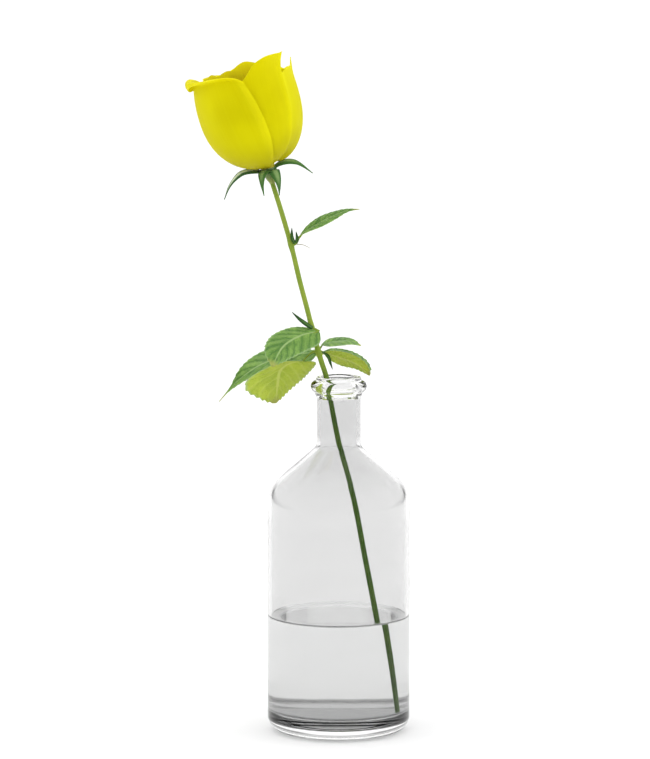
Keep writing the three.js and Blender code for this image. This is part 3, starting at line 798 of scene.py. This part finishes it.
def make_water():
    """The water wets the glass, so its skin lies just inside the wall, and it creeps up wall and stem."""
    radius = BODY_RADIUS - WALL + WETTING
    fillet = FLOOR_FILLET + WETTING
    floor = FLOOR_THICKNESS - WETTING
    profile = [(0, floor), *arc(radius - fillet, floor + fillet, fillet, -90, 0, 18)]
    rings = 60
    for k in range(rings + 1):
        r = radius * (1 - k / rings)
        wall = MENISCUS_RISE * math.exp(-(radius - r) / MENISCUS_FALL)
        profile.append((r, WATER_LEVEL + wall))
    form = Form()
    form.turned(held(profile), GLASS_SEGMENTS)
    at_stem = stem_at(WATER_LEVEL)
    for p in form.points:
        if p.z > WATER_LEVEL - 0.01:
            away = math.hypot(p.x - at_stem.x, p.y - at_stem.y) - STEM_FOOT_RADIUS
            p.z += STEM_MENISCUS_RISE * math.exp(-max(away, 0) / STEM_MENISCUS_FALL)
    piece = form.build("water_body", [water_finish()], sharp=60)
    stands_for(piece, "water", "water")


# ---------------- stem

GAP = 0.3
STEM_PATH = [
    (27.4, -13.4, 11.6),
    (18.9, -8.8, 60),
    (13.2, -5.7, 90),
    (7.4, -2.7, 120),
    (0.4, 0.6, 146),
    (-4.4, 2.3, 170),
    (-6.4, 2.9, 181),
    (-8.6, 4.4, 187.6),
    (-12.2, 7, 199.7),
    (-15.9, 9, 214.2),
    (-19.7, 10.7, 228.4),
    (-23.3, 12.1, 243.5),
    (-28.3, 13.6, 261.1),
]
STEM_FOOT_RADIUS = 1.45
STEM_TOP_RADIUS = 1.22
STEM_RADIUS = 1.4
NODE_HEIGHTS = (193, 204.9, 246.4)
NODE_SWELLING = 0.28
NODE_LENGTH = 2.2

BLOOM_SEAT = Vector((-35.6, 15, 285.6))
BLOOM_LEAN = math.radians(15)
HIP_LENGTH = 8.6
BLOOM_AXIS = Vector((-math.sin(BLOOM_LEAN), 0, math.cos(BLOOM_LEAN)))
STEM = Curve([*STEM_PATH, BLOOM_SEAT - BLOOM_AXIS * (HIP_LENGTH + GAP / 2)])


def stem_at(height):
    """The stem's middle at a height."""
    low, high = 0.0, 1.0
    for _ in range(30):
        middle = (low + high) / 2
        if STEM.at(middle).z < height:
            low = middle
        else:
            high = middle
    return STEM.at(low)


def beside_stem(height, angle, clear):
    """A point beside the stem. Angle 0 is to the right, -90 the front."""
    reach = STEM_RADIUS + clear
    turn = math.radians(angle)
    return stem_at(height) + Vector((reach * math.cos(turn), reach * math.sin(turn), 0))


def make_stem():
    """The stem tapers upward and swells a little where its leaves leave it."""

    def radius(t):
        z = STEM.at(t).z
        swelling = sum(NODE_SWELLING * bell(z, node, NODE_LENGTH) for node in NODE_HEIGHTS)
        grown = 0.05 * noise.noise(Vector((0, 0, z * 0.11)))
        return lerp(STEM_FOOT_RADIUS, STEM_TOP_RADIUS, t) + swelling + grown

    form = Form()
    form.tube(STEM, radius, sides=28, steps=220)
    form.slots[-2] = 1
    piece = form.build("stem_shoot", [stem_finish(), pith_finish()], sharp=60)
    stands_for(piece, "stem", "stem")


# ---------------- bloom

CUP_RADIUS = 27.2
CUP_WIDEST = 33.7
CUP_POWER = 2.4
CUP_CLOSING = 0.0087
PETAL_SPACING = 1.2
PETAL_ROOT_RADIUS = 4
CURL_RADIUS = 2.1
HANG_RADIUS = 5
RECEPTACLE_RADIUS = 3.5
PETAL_COLUMNS = 108
# Rows up the cup, on to the rim and round the curl.
PETAL_ROWS = 26, 14, 16

# A petal spans the angles from start to stop, which bend on the way up. Angle 0 is to the right, -90 the
# front. Its rim heights, curl lengths, flares and sags are spread evenly across it, the ear draws the
# upper end of its stop edge out by some degrees, the corner rounds the rim off toward that edge, and the
# lift turns its two long edges away from the cup.
# A tip is a small point of the rim: its place across, half width, height and lean outward.
NONE = (0, 0)
Petal = namedtuple(
    "Petal", "layer start stop rim curl tip flare sag ear corner lift", defaults=(NONE, NONE, 0, 0, NONE)
)
OUTER_PETALS = {
    "outer_petal_front_left": Petal(
        layer=0,
        start=(-210, -213, -216, -220, -222),
        stop=(-72.5, -73.5, -75, -79, -90),
        ear=-1.5,
        corner=1.4,
        rim=(47, 50.6, 52.1, 51.9, 51.5, 51.1, 51.3, 50.6, 48.8),
        curl=(3, 11.4, 6.6, 4.4, 2.6),
        flare=(0, 0.3, 0.3, 0, 0),
        lift=(0.3, 0.9),
        tip=(-0.42, 0.12, 0.2, 0),
    ),
    "outer_petal_front_right": Petal(
        layer=1,
        start=(-120, -121, -122, -123, -124),
        stop=(-48, -43, -43, -44, -42),
        ear=24,
        rim=(42, 43, 44.6, 48.8, 53.4, 55.0, 55.5, 55.2, 54.4),
        curl=(0.4, 0.5, 0.9, 0.9, 0.6),
        lift=(0, 0.9),
        tip=(1, 0.06, 0.6, 0.3),
    ),
    "outer_petal_right": Petal(
        layer=2,
        start=(-54, -48, -46, -44, -39),
        stop=(50, 51, 52, 53, 54),
        corner=2,
        rim=(45, 46.6, 46.2, 45, 42),
        curl=(0.3, 0.5, 1.2, 0.8, 0.5),
        flare=(0, 0, 0.6, 0.3, 0),
        sag=(0, 0, 2.4, 2.4, 1),
        lift=(0, 0.3),
        tip=(0.03, 0.04, 4.2, 2.2),
    ),
    "outer_petal_back": Petal(
        layer=3,
        start=(22, 21, 20, 19, 18),
        stop=(160, 161, 163, 165, 166),
        corner=2,
        rim=(44, 48.5, 50, 48.5, 46),
        curl=(0.5, 1.6, 2.4, 1.8, 0.6),
        lift=(0, 0.3),
        tip=(0.1, 0.1, 0.8, 0),
    ),
    "outer_petal_back_left": Petal(
        layer=4,
        start=(98, 98, 97, 96, 96),
        stop=(232, 233, 234, 235, 236),
        corner=2,
        rim=(45, 50, 51, 50, 47),
        curl=(0.3, 0.6, 0.8, 0.6, 0.3),
        tip=(0.25, 0.1, 0.6, 0),
    ),
}


def cup_point(part, offset):
    """The cup that the petals follow, as (radius, height), drawn in by an offset for inner layers."""
    angle = part * math.pi / 2
    radius = (CUP_RADIUS - offset) * math.sin(angle)
    height = CUP_WIDEST - (CUP_WIDEST - offset) * max(math.cos(angle), 0) ** (2 / CUP_POWER)
    return radius, height


def petal_line(offset, rim, curl, flare, sag):
    """A petal's middle line at one place across it, as (radius, height): up the cup, past its widest
    ring, and out in a curl that hangs more loosely once it has turned over."""
    root = math.asin(PETAL_ROOT_RADIUS / (CUP_RADIUS - offset)) / (math.pi / 2)
    low, middle, top = PETAL_ROWS
    line = []
    for k in range(low + 1):
        radius, height = cup_point(lerp(root, 1, (k / low) ** 0.9), offset)
        line.append((radius, height - sag * math.sin(math.pi * math.sqrt(k / low))))
    turn = curl / CURL_RADIUS
    straight_top = rim - CURL_RADIUS * math.sin(min(turn, math.pi / 2))
    for k in range(1, middle + 1):
        height = lerp(CUP_WIDEST, straight_top, k / middle)
        closing = CUP_CLOSING * (height - CUP_WIDEST) ** 2
        line.append((CUP_RADIUS - offset - closing + flare * (k / middle) ** 2, height))
    radius, height = line[-1]
    step = curl / top
    heading = 0
    for _ in range(top):
        turning = step / (CURL_RADIUS if heading < math.pi else HANG_RADIUS)
        radius += step * math.sin(heading + turning / 2)
        height += step * math.cos(heading + turning / 2)
        heading += turning
        line.append((radius, height))
    return line


def shares(line):
    """How far along a line each of its points lies, from 0 to 1."""
    lengths = [0]
    for (r0, z0), (r1, z1) in zip(line, line[1:]):
        lengths.append(lengths[-1] + math.hypot(r1 - r0, z1 - z0))
    return [length / lengths[-1] for length in lengths]


def petal_thickness(v, u):
    """Fleshy at the root, thin over the blade and finest at the rim and the side edges."""
    blade = lerp(0.8, 0.5, smooth(0, 0.5, v))
    return lerp(blade, 0.22, max(smooth(0.9, 1, v), smooth(0.92, 1, abs(u))))


def petal_grid(petal, seed):
    offset = petal.layer * PETAL_SPACING
    tip_place, tip_width, tip_height, tip_lean = petal.tip
    lift_start, lift_stop = petal.lift
    grid = [[] for _ in range(sum(PETAL_ROWS) + 1)]
    for j in range(PETAL_COLUMNS + 1):
        u = 2 * j / PETAL_COLUMNS - 1
        tip = bell(u, tip_place, tip_width)
        rim = spread(petal.rim, u) + tip_height * tip
        rim += 0.3 * noise.noise(Vector((2.6 * u, seed, 0))) - petal.corner * max(u, 0) ** 12
        curl, flare, sag = (spread(values, u) for values in (petal.curl, petal.flare, petal.sag))
        lift = lift_start * smooth(-0.86, -1, u) + lift_stop * smooth(0.86, 1, u)
        line = petal_line(offset, rim, max(curl, 0.1), flare, sag)
        for i, (v, (radius, height)) in enumerate(zip(shares(line), line)):
            stop = bend(petal.stop, v) + petal.ear * v**14
            angle = math.radians(lerp(bend(petal.start, v), stop, j / PETAL_COLUMNS))
            ripple = 0.3 * noise.noise(Vector((2.2 * u, 2.4 * v, seed + 5))) * smooth(0.2, 1, v)
            radius += ripple + lift * smooth(0.15, 0.6, v) + tip_lean * tip * smooth(0.86, 1, v)
            grid[i].append(Vector((radius * math.cos(angle), radius * math.sin(angle), height)))
    return grid


BLOOM_PLACE = Matrix.Translation(BLOOM_SEAT) @ Matrix.Rotation(-BLOOM_LEAN, 4, "Y")


def make_outer_petals():
    """The three petals behind are painted lighter, with pale margins all round: painted glow for the light
    that comes through them from behind. The two petals in front are deeper in colour.
    """
    front = petal_finish("petal_front", PETAL_BODY, PETAL_SHADE, 0.35)
    # painted light: the back petals' finish is a lighter copy, with fully pale margins
    back = petal_finish("petal_back", PETAL_PAINTED_BACKLIGHT, PETAL_BODY, 1.0)
    for number, (name, petal) in enumerate(OUTER_PETALS.items()):
        form = Form()
        form.sheet(petal_grid(petal, 3.7 * number), petal_thickness)
        finish = front if "front" in name else back
        piece = form.build(name.replace("outer_petal", "petal"), [finish], BLOOM_PLACE, sharp=75)
        stands_for(piece, "petal", name)


HEART_OFFSET = 5.7
HEART_RIM = 50.8
HEART_OUTER_RADIUS = 19.8
HEART_INNER_RADIUS = 3.4
HEART_CORE_TOP = 22
HEART_CORE_SHARE = 0.62
HEART_PETALS = 15
GOLDEN_ANGLE = 137.5
HEART_START_ANGLE = 20

# Three inner petals show over the front ones: their middle angle, radius, rim height and half width.
HEART_FRONT = [(-153, 21.6, 52.6, 34), (-117, 21.0, 53.0, 34), (-85, 20.4, 55.3, 42)]


def heart_petals():
    """Middle angle, radius, rim height and half width of each inner petal. The rest wind inward, each
    turned on from the last by the golden angle."""
    petals = list(HEART_FRONT)
    for k in range(HEART_PETALS):
        share = k / (HEART_PETALS - 1)
        radius = lerp(HEART_OUTER_RADIUS, HEART_INNER_RADIUS, share**0.85)
        angle = HEART_START_ANGLE + GOLDEN_ANGLE * k
        petals.append((angle, radius, HEART_RIM - 0.8 * math.sin(math.pi * share), lerp(48, 120, share)))
    return petals


def heart_petal_grid(middle, widest, rim, half):
    """An inner petal closes in over the heart, tucks one side edge under and rolls its rim out."""

    def place(v, u):
        top = rim - 0.12 * min(half, 42) * abs(u - 0.12) ** 1.7
        height = lerp(HEART_CORE_TOP - 7, top, v)
        rise = (height - CUP_WIDEST) / (HEART_RIM - CUP_WIDEST)
        radius = widest * (1 - (0.2 if rise > 0 else 0.14) * rise**2)
        radius += 0.9 * smooth(0.86, 1, v) ** 2 - 0.6 * u
        radius += 0.3 * noise.noise(Vector((2 * u, 2.5 * v, middle))) * v
        angle = math.radians(middle + half * u * lerp(1, 0.86, v**3))
        return Vector((radius * math.cos(angle), radius * math.sin(angle), height))

    return sheet_grid(26, 40, place)


def make_inner_petals():
    """The inner petals stand about a blunt core that follows the lower part of the cup."""
    form = Form()
    core = [cup_point(HEART_CORE_SHARE * k / 16, HEART_OFFSET) for k in range(1, 17)]
    form.turned([(0, HEART_OFFSET), *core, (0, HEART_CORE_TOP)], 48)
    for petal in heart_petals():
        form.sheet(heart_petal_grid(*petal), petal_thickness)
    # painted shade: the inner petals take a darker yellow than the outer ones, for the shade deep in the cup
    finish = petal_finish("petal_inner_painted_shade", PETAL_SHADE, PETAL_PAINTED_INNER_SHADE, 0.3)
    piece = form.build("inner_petal_whorl", [finish], BLOOM_PLACE, sharp=75)
    stands_for(piece, "petal", "inner_petals")


# Sepals reflex from under the petals. Each has its angle, a twist that turns its width about its path, and
# the path, as (outward, up) points from inside the hip to the tip.
SEPALS = [
    (183, 40, [(2.4, -1.6), (6, 0), (11, 1.1), (15, 0.4), (21, -3.9), (25.6, -10.2)]),
    (-112, 10, [(2.4, -2), (6, -0.9), (10, -2.2), (12.8, -6.5), (14, -12.5)]),
    (-52, -15, [(2.4, -1.8), (4.6, -2.2), (5.6, -6), (5, -10.5), (3, -15.2)]),
    (2, -40, [(2.4, -0.6), (5.6, 0.7), (9.6, 0.8), (14.6, -1.3), (21, -9.0)]),
    (86, 0, [(2.4, -2), (7, -0.6), (12.5, -1), (17.5, -5.5), (20.5, -11.5)]),
]
# The left sepal, seen at a grazing angle, has a much paler middle: painted sheen.
SEPAL_WITH_PAINTED_SHEEN = 0
SEPAL_HALF_WIDTH = 2.7
SEPAL_FOLD = 0.3


def sepal_width(t):
    """A sepal is widest near a quarter of its length and runs out to a thread."""
    return lerp(1.3, 1, t / 0.25) if t < 0.25 else ((1 - t) / 0.75) ** 1.4


def sepal_grid(angle, twist, path):
    curve = Curve([(out, 0, up) for out, up in path])
    turn = Matrix.Rotation(math.radians(angle), 3, "Z")

    def place(t, side):
        tangent = curve.tangent(t)
        outward = Vector((tangent.z, 0, -tangent.x))
        half = 0.2 + SEPAL_HALF_WIDTH * sepal_width(t)
        turned = math.radians(twist) * min(1, 2 * t)
        across = Vector((0, math.cos(turned), 0)) + outward * math.sin(turned)
        fold = SEPAL_FOLD * half * (math.sqrt(side**2 + 0.02) - 0.1)
        return turn @ (curve.at(t) + outward * fold + across * (side * half))

    return sheet_grid(34, 10, place)


def sepal_thickness(v, u):
    return lerp(0.7, 0.25, max(abs(u) ** 3, v**2))


def make_calyx():
    """The hip and the receptacle between the petals' roots, turned in one profile, and five sepals."""
    form = Form()
    profile = [
        (0, -HIP_LENGTH - 0.1),
        (1.3, -HIP_LENGTH - 0.1),
        (1.7, -7.6),
        (2.2, -6.6),
        (2.7, -5.3),
        (3.1, -4),
        (3.5, -2.9),
        (3.9, -1.9),
        (4.7, -1),
        (4.8, -0.5),
        (RECEPTACLE_RADIUS, -0.6),
        (RECEPTACLE_RADIUS, 4.6),
        (RECEPTACLE_RADIUS - 0.8, HEART_OFFSET - GAP),
        (0, HEART_OFFSET - GAP),
    ]
    form.turned(profile, 40, slot=2)
    for number, sepal in enumerate(SEPALS):
        slots = (3, 1) if number == SEPAL_WITH_PAINTED_SHEEN else (0, 1)
        form.sheet(sepal_grid(*sepal), sepal_thickness, slots)
    finishes = [
        bract_finish("sepal_inner", rgb(0.05, 0.145, 0.025), rgb(0.22, 0.35, 0.12), 0.75, 0.55),
        bract_finish("sepal_outer", rgb(0.03, 0.10, 0.015), rgb(0.10, 0.21, 0.05), 0.7, 0.45),
        hip_finish(),
        # painted sheen: the paler middle of the left sepal
        bract_finish("sepal_inner_painted_sheen", rgb(0.03, 0.10, 0.02), rgb(0.62, 0.72, 0.52), 1.0, 0.55),
    ]
    piece = form.build("calyx_hip_and_sepals", finishes, BLOOM_PLACE)
    stands_for(piece, "calyx", "calyx")


# ---------------- leaves


def side_vein(t, s):
    """1 on a side vein of a blade and 0 midway between two."""
    return abs(((t * SIDE_VEINS - abs(s) ** VEIN_BEND * VEIN_SWEEP) % 1) * 2 - 1)


def saw(place):
    """A tooth's height from 0 to 1: a long slope out and a short one back."""
    phase = place % 1
    return phase / 0.72 if phase < 0.72 else (1 - phase) / 0.28


TOOTH = 0.45
ROWS_PER_TOOTH = 7
HALF_COLUMNS = 9
CROWN = 0.16
QUILT = 0.5
FOLD = 0.12

# A leaflet has a stalklet, a midrib from its base to its tip, and a far and a near edge between the two.
Leaflet = namedtuple(
    "Leaflet", "stalklet midrib far near teeth tooth face_up folded", defaults=(TOOTH, True, False)
)
Stipule = namedtuple("Stipule", "path side half slot", defaults=((0, 1, 0), 1.1, 3))


def leaflet_grid(leaf):
    """A leaflet between two saw-toothed edges that share its base and its tip, about its midrib. The
    blade swells between its side veins, and a folded one turns its near margin over."""
    midrib = Curve(leaf.midrib)
    edges = [Curve([leaf.midrib[0], *edge, leaf.midrib[-1]]) for edge in (leaf.far, leaf.near)]
    teeth = round(leaf.teeth * 1.5)
    steps = teeth * ROWS_PER_TOOTH
    upward = 1 if leaf.face_up else -1
    grid = []
    for i in range(steps + 1):
        t = lerp(0.02, 0.992, i / steps)
        middle, tangent = midrib.at(t), midrib.tangent(t)
        halves = []
        for side, edge in enumerate(edges):
            outward = edge.at(t) - middle
            reach = max(outward.length, 0.05)
            size = saw(i / ROWS_PER_TOOTH) * min(leaf.tooth, 0.2 * reach)
            fold = FOLD if side == 1 and leaf.folded else 0
            rim = middle + outward * ((reach + size) / reach) + tangent * (0.8 * size)
            normal = tangent.cross(outward).normalized() * (1 if side == 0 else -1)
            half = []
            for j in range(HALF_COLUMNS):
                s = 1 - j / HALF_COLUMNS
                hollow = 4 * s * (1 - s) * CROWN * reach / 2
                quilt = QUILT * (1 - side_vein(i / steps, s) ** 4) * (1 - s**3) * smooth(0, 0.3, s)
                quilt *= smooth(0, 6, reach) * upward
                over = max(s - (1 - fold), 0)
                flat = (s - 2 * over) / (1 - fold)
                half.append(middle.lerp(rim, flat) + normal * (hollow - quilt - 4 * over))
            halves.append(half)
        far, near = halves
        grid.append([*far, middle, *near[::-1]])
    return grid


def blade_thickness(v, u):
    midrib = 0.5 * bell(u, 0, 0.06) * (1 - v)
    return lerp(0.55, 0.25, smooth(0.8, 1, abs(u))) * lerp(1, 0.6, v) + midrib


def stipule_grid(stipule):
    curve = Curve(stipule.path)
    across = Vector(stipule.side).normalized()

    def place(t, side):
        width = 0.12 + stipule.half * math.sin(math.pi * (0.25 + 0.75 * t))
        trough = curve.tangent(t).cross(across).normalized()
        return curve.at(t) + across * (side * width) + trough * (0.25 * width * side**2)

    return sheet_grid(16, 6, place)


def stipule_thickness(v, u):
    return lerp(0.6, 0.2, max(v, abs(u)))


STALK_RADII = 0.85, 0.6
STALKLET_RADII = 0.6, 0.3
STALKS = {
    "leaf_upper": [
        beside_stem(246.4, -25, -0.4),
        beside_stem(246.9, -25, 0.8),
        beside_stem(247.6, -22, 1.9),
        (-19.9, 11.3, 250.6),
    ],
    "leaf_middle": [
        beside_stem(204.9, -80, -0.4),
        beside_stem(204.8, -80, 0.6),
        beside_stem(204.6, -68, 1.9),
        (-9.8, 3.4, 203.6),
    ],
    "leaf_lower": [
        beside_stem(192.8, 95, -0.4),
        beside_stem(192.8, 95, 0.4),
        (-9.6, 12, 192.6),
        (-10, 21, 191.6),
        (-10.5, 30, 189.9),
    ],
}

STIPULES = {
    "leaf_upper": [
        Stipule([beside_stem(246.7, -30, 1.2), (-23.4, 9.2, 250.4), (-23.6, 9.2, 255.4)], (1, 0.4, 0), 0.8),
        Stipule([beside_stem(246.9, -25, 1.2), (-21, 9, 249.6), (-21.4, 8.4, 253.6)], (1, -0.4, 0), 0.8),
        Stipule([beside_stem(246.8, -20, 1), (-18, 8.4, 246.8), (-14.4, 7.4, 245.2)], half=0.35, slot=4),
    ],
    "leaf_middle": [
        Stipule(
            [beside_stem(204.7, -75, 1.3), (-15, 3.6, 206.4), (-19.5, 3.4, 209.7), (-23.5, 3.2, 213.3)],
            (0.5, 0.6, 0.6),
        ),
    ],
    "leaf_lower": [
        Stipule(
            [beside_stem(192.5, 85, 1.4), (-5.9, 7.4, 190.8), (-4.3, 5.6, 187.2), (-3.1, 4, 184.1)],
            (1, 1, 0),
        ),
    ],
}

UPPER_LEAFLET = Leaflet(
    stalklet=[(-20.2, 11.2, 249.8)],
    midrib=[(-19.6, 11.4, 251.2), (-11.9, 11, 256.1), (-1.9, 9, 261.6), (4.2, 8.4, 264), (10.7, 8, 264.9)],
    far=[(-16, 14, 255.7), (-9.4, 15, 260.4), (0.7, 12, 264), (5.4, 9.4, 264.9)],
    near=[(-14.9, 8, 253.6), (-8.4, 6, 256.4), (-1.4, 6, 260.2), (4.6, 7.6, 263.6)],
    teeth=8,
    tooth=0.3,
    face_up=False,
)
MIDDLE_LEAFLET = Leaflet(
    stalklet=[(-10.4, 3.6, 204.1)],
    midrib=[(-9.4, 3.4, 203.4), (-18, 1.5, 202), (-27.5, -5, 197.2), (-33.4, -14, 187.8)],
    far=[(-14.5, 5, 205), (-23.5, 6.5, 205.1), (-33.6, 1, 201.5), (-37, -8, 195.6)],
    near=[(-9.4, 0, 198.6), (-15.9, -6, 195.3), (-24.4, -12, 192.1), (-29.4, -14.5, 189.9)],
    teeth=11,
)
LOWER_FRONT_LEAFLET = Leaflet(
    stalklet=[(-9.5, 10.4, 192.7), (-13, 9.8, 192.3), (-15.5, 9.2, 190.4)],
    midrib=[(-16.7, 9, 187.8), (-24.6, 9.5, 186.9), (-29.4, 10, 183.5), (-30.9, 14, 174.8), (-32, 16, 165)],
    far=[(-11.5, 12, 186.5), (-15.3, 16, 180.9), (-25.2, 20, 171.4)],
    near=[(-27.1, 6, 187.9), (-36.6, 3, 185), (-46, 2, 179), (-46.5, 4, 174.1), (-39, 9, 168.6)],
    teeth=10,
    tooth=0.7,
)
LOWER_RIGHT_LEAFLET = Leaflet(
    stalklet=[(-9.6, 10.2, 192.7)],
    midrib=[(-8.2, 10, 192.2), (-0.3, 12, 189.4), (8.8, 12, 185.8), (15.7, 10, 180)],
    far=[(-5.4, 15, 188.2), (0.7, 18, 184.4), (8.8, 16, 182.7)],
    near=[(-3.4, 7, 194.1), (5.6, 6, 193), (12.5, 7, 189.2), (15.6, 8, 185)],
    teeth=8,
    tooth=0.5,
    face_up=False,
    folded=True,
)
LOWER_LEFT_LEAFLET = Leaflet(
    stalklet=[(-9.9, 20.2, 191.7)],
    midrib=[
        (-10.8, 20, 190.2),
        (-22.1, 18, 189.6),
        (-38.8, 12, 185.5),
        (-49.6, 8, 178.7),
        (-55.4, 6, 173.4),
        (-60.8, 5, 167.1),
    ],
    far=[
        (-19.6, 28, 193.3),
        (-32.3, 25, 192.7),
        (-43.9, 18, 188.3),
        (-50.6, 10, 182.5),
        (-54.6, 6.5, 175.2),
    ],
    near=[(-13.7, 15, 187.3), (-19.5, 13, 186.5), (-29.1, 9, 185.2), (-41.2, 6, 181.5), (-54.6, 5, 173.4)],
    teeth=12,
)
LOWER_FAR_LEAFLET = Leaflet(
    stalklet=[(-10, 22, 191.5)],
    midrib=[(-8.9, 23, 194), (-1.8, 25, 195), (5.8, 25, 195.3), (11.6, 24, 193.4)],
    far=[(-5.4, 30, 195.9), (1.3, 34, 196.2), (7.3, 30, 195.8)],
    near=[(-5.4, 18, 193.9), (0.7, 16, 194.6), (6.3, 18, 194.9)],
    teeth=7,
    tooth=0.35,
    face_up=False,
)
LOWER_END_LEAFLET = Leaflet(
    stalklet=[(-10.3, 27, 190.5)],
    midrib=[(-10.5, 29, 189.9), (-11.5, 39, 189.2), (-13.4, 49, 187.4), (-14.8, 59, 182.6)],
    far=[(-4.4, 36, 188.3), (-6, 46, 186.6)],
    near=[(-18.7, 36, 189.6), (-20.2, 46, 188)],
    teeth=9,
)
LEAFLETS = {
    "leaf_upper": [UPPER_LEAFLET],
    "leaf_middle": [MIDDLE_LEAFLET],
    "leaf_lower": [
        LOWER_FRONT_LEAFLET,
        LOWER_RIGHT_LEAFLET,
        LOWER_LEFT_LEAFLET,
        LOWER_FAR_LEAFLET,
        LOWER_END_LEAFLET,
    ],
}


def make_leaves():
    """Each leaf has a stalk, its leaflets on their stalklets and its stipules."""
    greens = rgb(0.085, 0.21, 0.03), rgb(0.26, 0.44, 0.09)
    # painted shade: on the upper face the side veins and net take a dark green, for the shade in the furrows
    top = blade_finish("leaf_top", greens, rgb(0.34, 0.50, 0.18), rgb(0.06, 0.18, 0.025), 0.9, 0.45)
    # partly painted light: the underside's own paler green, made yellower and brighter for light through the
    # leaf
    pale_and_glow_yellows = rgb(0.37, 0.49, 0.035), rgb(0.52, 0.62, 0.065)
    under = blade_finish("leaf_underside", pale_and_glow_yellows, rgb(0.62, 0.69, 0.16), rgb(0.55, 0.64, 0.10), -0.9, 0.55)
    dark = bract_finish("stipule_green", rgb(0.015, 0.06, 0.008), rgb(0.06, 0.15, 0.025), 0.8, 0.5)
    dry = bract_finish("stipule_dry", rgb(0.42, 0.40, 0.32), rgb(0.55, 0.53, 0.45), 0.8, 0.6)
    finishes = [top, under, stem_finish(), dark, dry]
    for node, stalk in STALKS.items():
        form = Form()
        form.tube(Curve(stalk), lambda t: lerp(*STALK_RADII, t), sides=14, steps=40, slot=2)
        for leaflet in LEAFLETS[node]:
            form.sheet(leaflet_grid(leaflet), blade_thickness, (0, 1), leaflet.face_up)
            midrib = Curve(leaflet.midrib)
            stalklet = Curve([*leaflet.stalklet, midrib.at(0.05), midrib.at(0.14)])
            form.tube(stalklet, lambda t: lerp(*STALKLET_RADII, t), sides=12, steps=24, slot=2)
        for stipule in STIPULES[node]:
            form.sheet(stipule_grid(stipule), stipule_thickness, (stipule.slot, stipule.slot))
        piece = form.build(node + "_blades", finishes, sharp=60)
        stands_for(piece, "leaf", node)


# ---------------- studio

FLOOR_SIZE = 60
# The floor lies a hair above the bottle's foot, so that the two faces don't coincide.
FLOOR_RISE = 0.00005


def make_floor():
    half = FLOOR_SIZE / 2
    mesh = bpy.data.meshes.new("floor")
    corners = [(-half, -half), (half, -half), (half, half), (-half, half)]
    mesh.from_pydata([(x, y, FLOOR_RISE) for x, y in corners], [], [(0, 1, 2, 3)])
    mesh.materials.append(floor_finish())
    floor = placed("floor", mesh)


# Brightness overhead, lower down and on the camera's side, and how much of it the dark band keeps.
SKY = {"zenith": 1.25, "low": 1.1, "front": 0.8, "band": 0.22}


def make_world():
    """A white studio, a little dimmer on the camera's side, with a dark band low on its left and right."""
    world = bpy.data.worlds.new("studio")
    bpy.context.scene.world = world
    world.use_nodes = True
    n = Nodes(world.node_tree)
    direction = n.nodes.new("ShaderNodeTexCoord")
    x, y, z = n.axes(direction.outputs["Generated"])
    low = n.ease(y, -0.8, -0.1, SKY["front"], SKY["low"])
    high = n.ease(z, 0.25, 0.6)
    dome = n.plus(n.times(high, SKY["zenith"]), n.times(n.minus(1.0, high), low))
    at_sides = n.ease(n.math("ABSOLUTE", x), 0.2, 0.45)
    near_horizon = n.ease(z, 0.04, 0.2, 1.0, 0.0)
    dark = n.times(n.times(at_sides, near_horizon), 1.0 - SKY["band"])
    strength = n.times(dome, n.minus(1.0, dark))
    background = n.nodes.new("ShaderNodeBackground")
    background.inputs["Color"].default_value = rgb(1, 1, 1)
    n.link(strength, background.inputs["Strength"])
    output = n.nodes.new("ShaderNodeOutputWorld")
    n.link(background.outputs[0], output.inputs["Surface"])


LAMPS = {
    "key_left": {"at": (-1.6, -0.6, 1.6), "size": 2.4, "power": 3},
    "fill_right": {"at": (1.6, -0.4, 1.0), "size": 2.4, "power": 7},
    "top_back": {"at": (0, 1.4, 2.0), "size": 1.6, "power": 2},
}
LAMP_AIM = Vector((-0.01, 0, 0.2))


def make_lamps():
    """Three wide, weak lamps that model the bloom softly."""
    for name, lamp in LAMPS.items():
        data = bpy.data.lights.new(name, "AREA")
        data.shape = "SQUARE"
        data.size = lamp["size"]
        data.energy = lamp["power"]
        light = placed(name, data)
        light.location = lamp["at"]
        light.rotation_mode = "QUATERNION"
        light.rotation_quaternion = (LAMP_AIM - light.location).to_track_quat("-Z", "Y")


# ---------------- scene


def make_scene():
    bpy.context.scene.view_settings.view_transform = "Standard"
    make_camera()
    make_world()
    make_lamps()
    make_floor()
    make_bottle()
    make_water()
    make_stem()
    make_leaves()
    make_calyx()
    make_outer_petals()
    make_inner_petals()


make_scene()
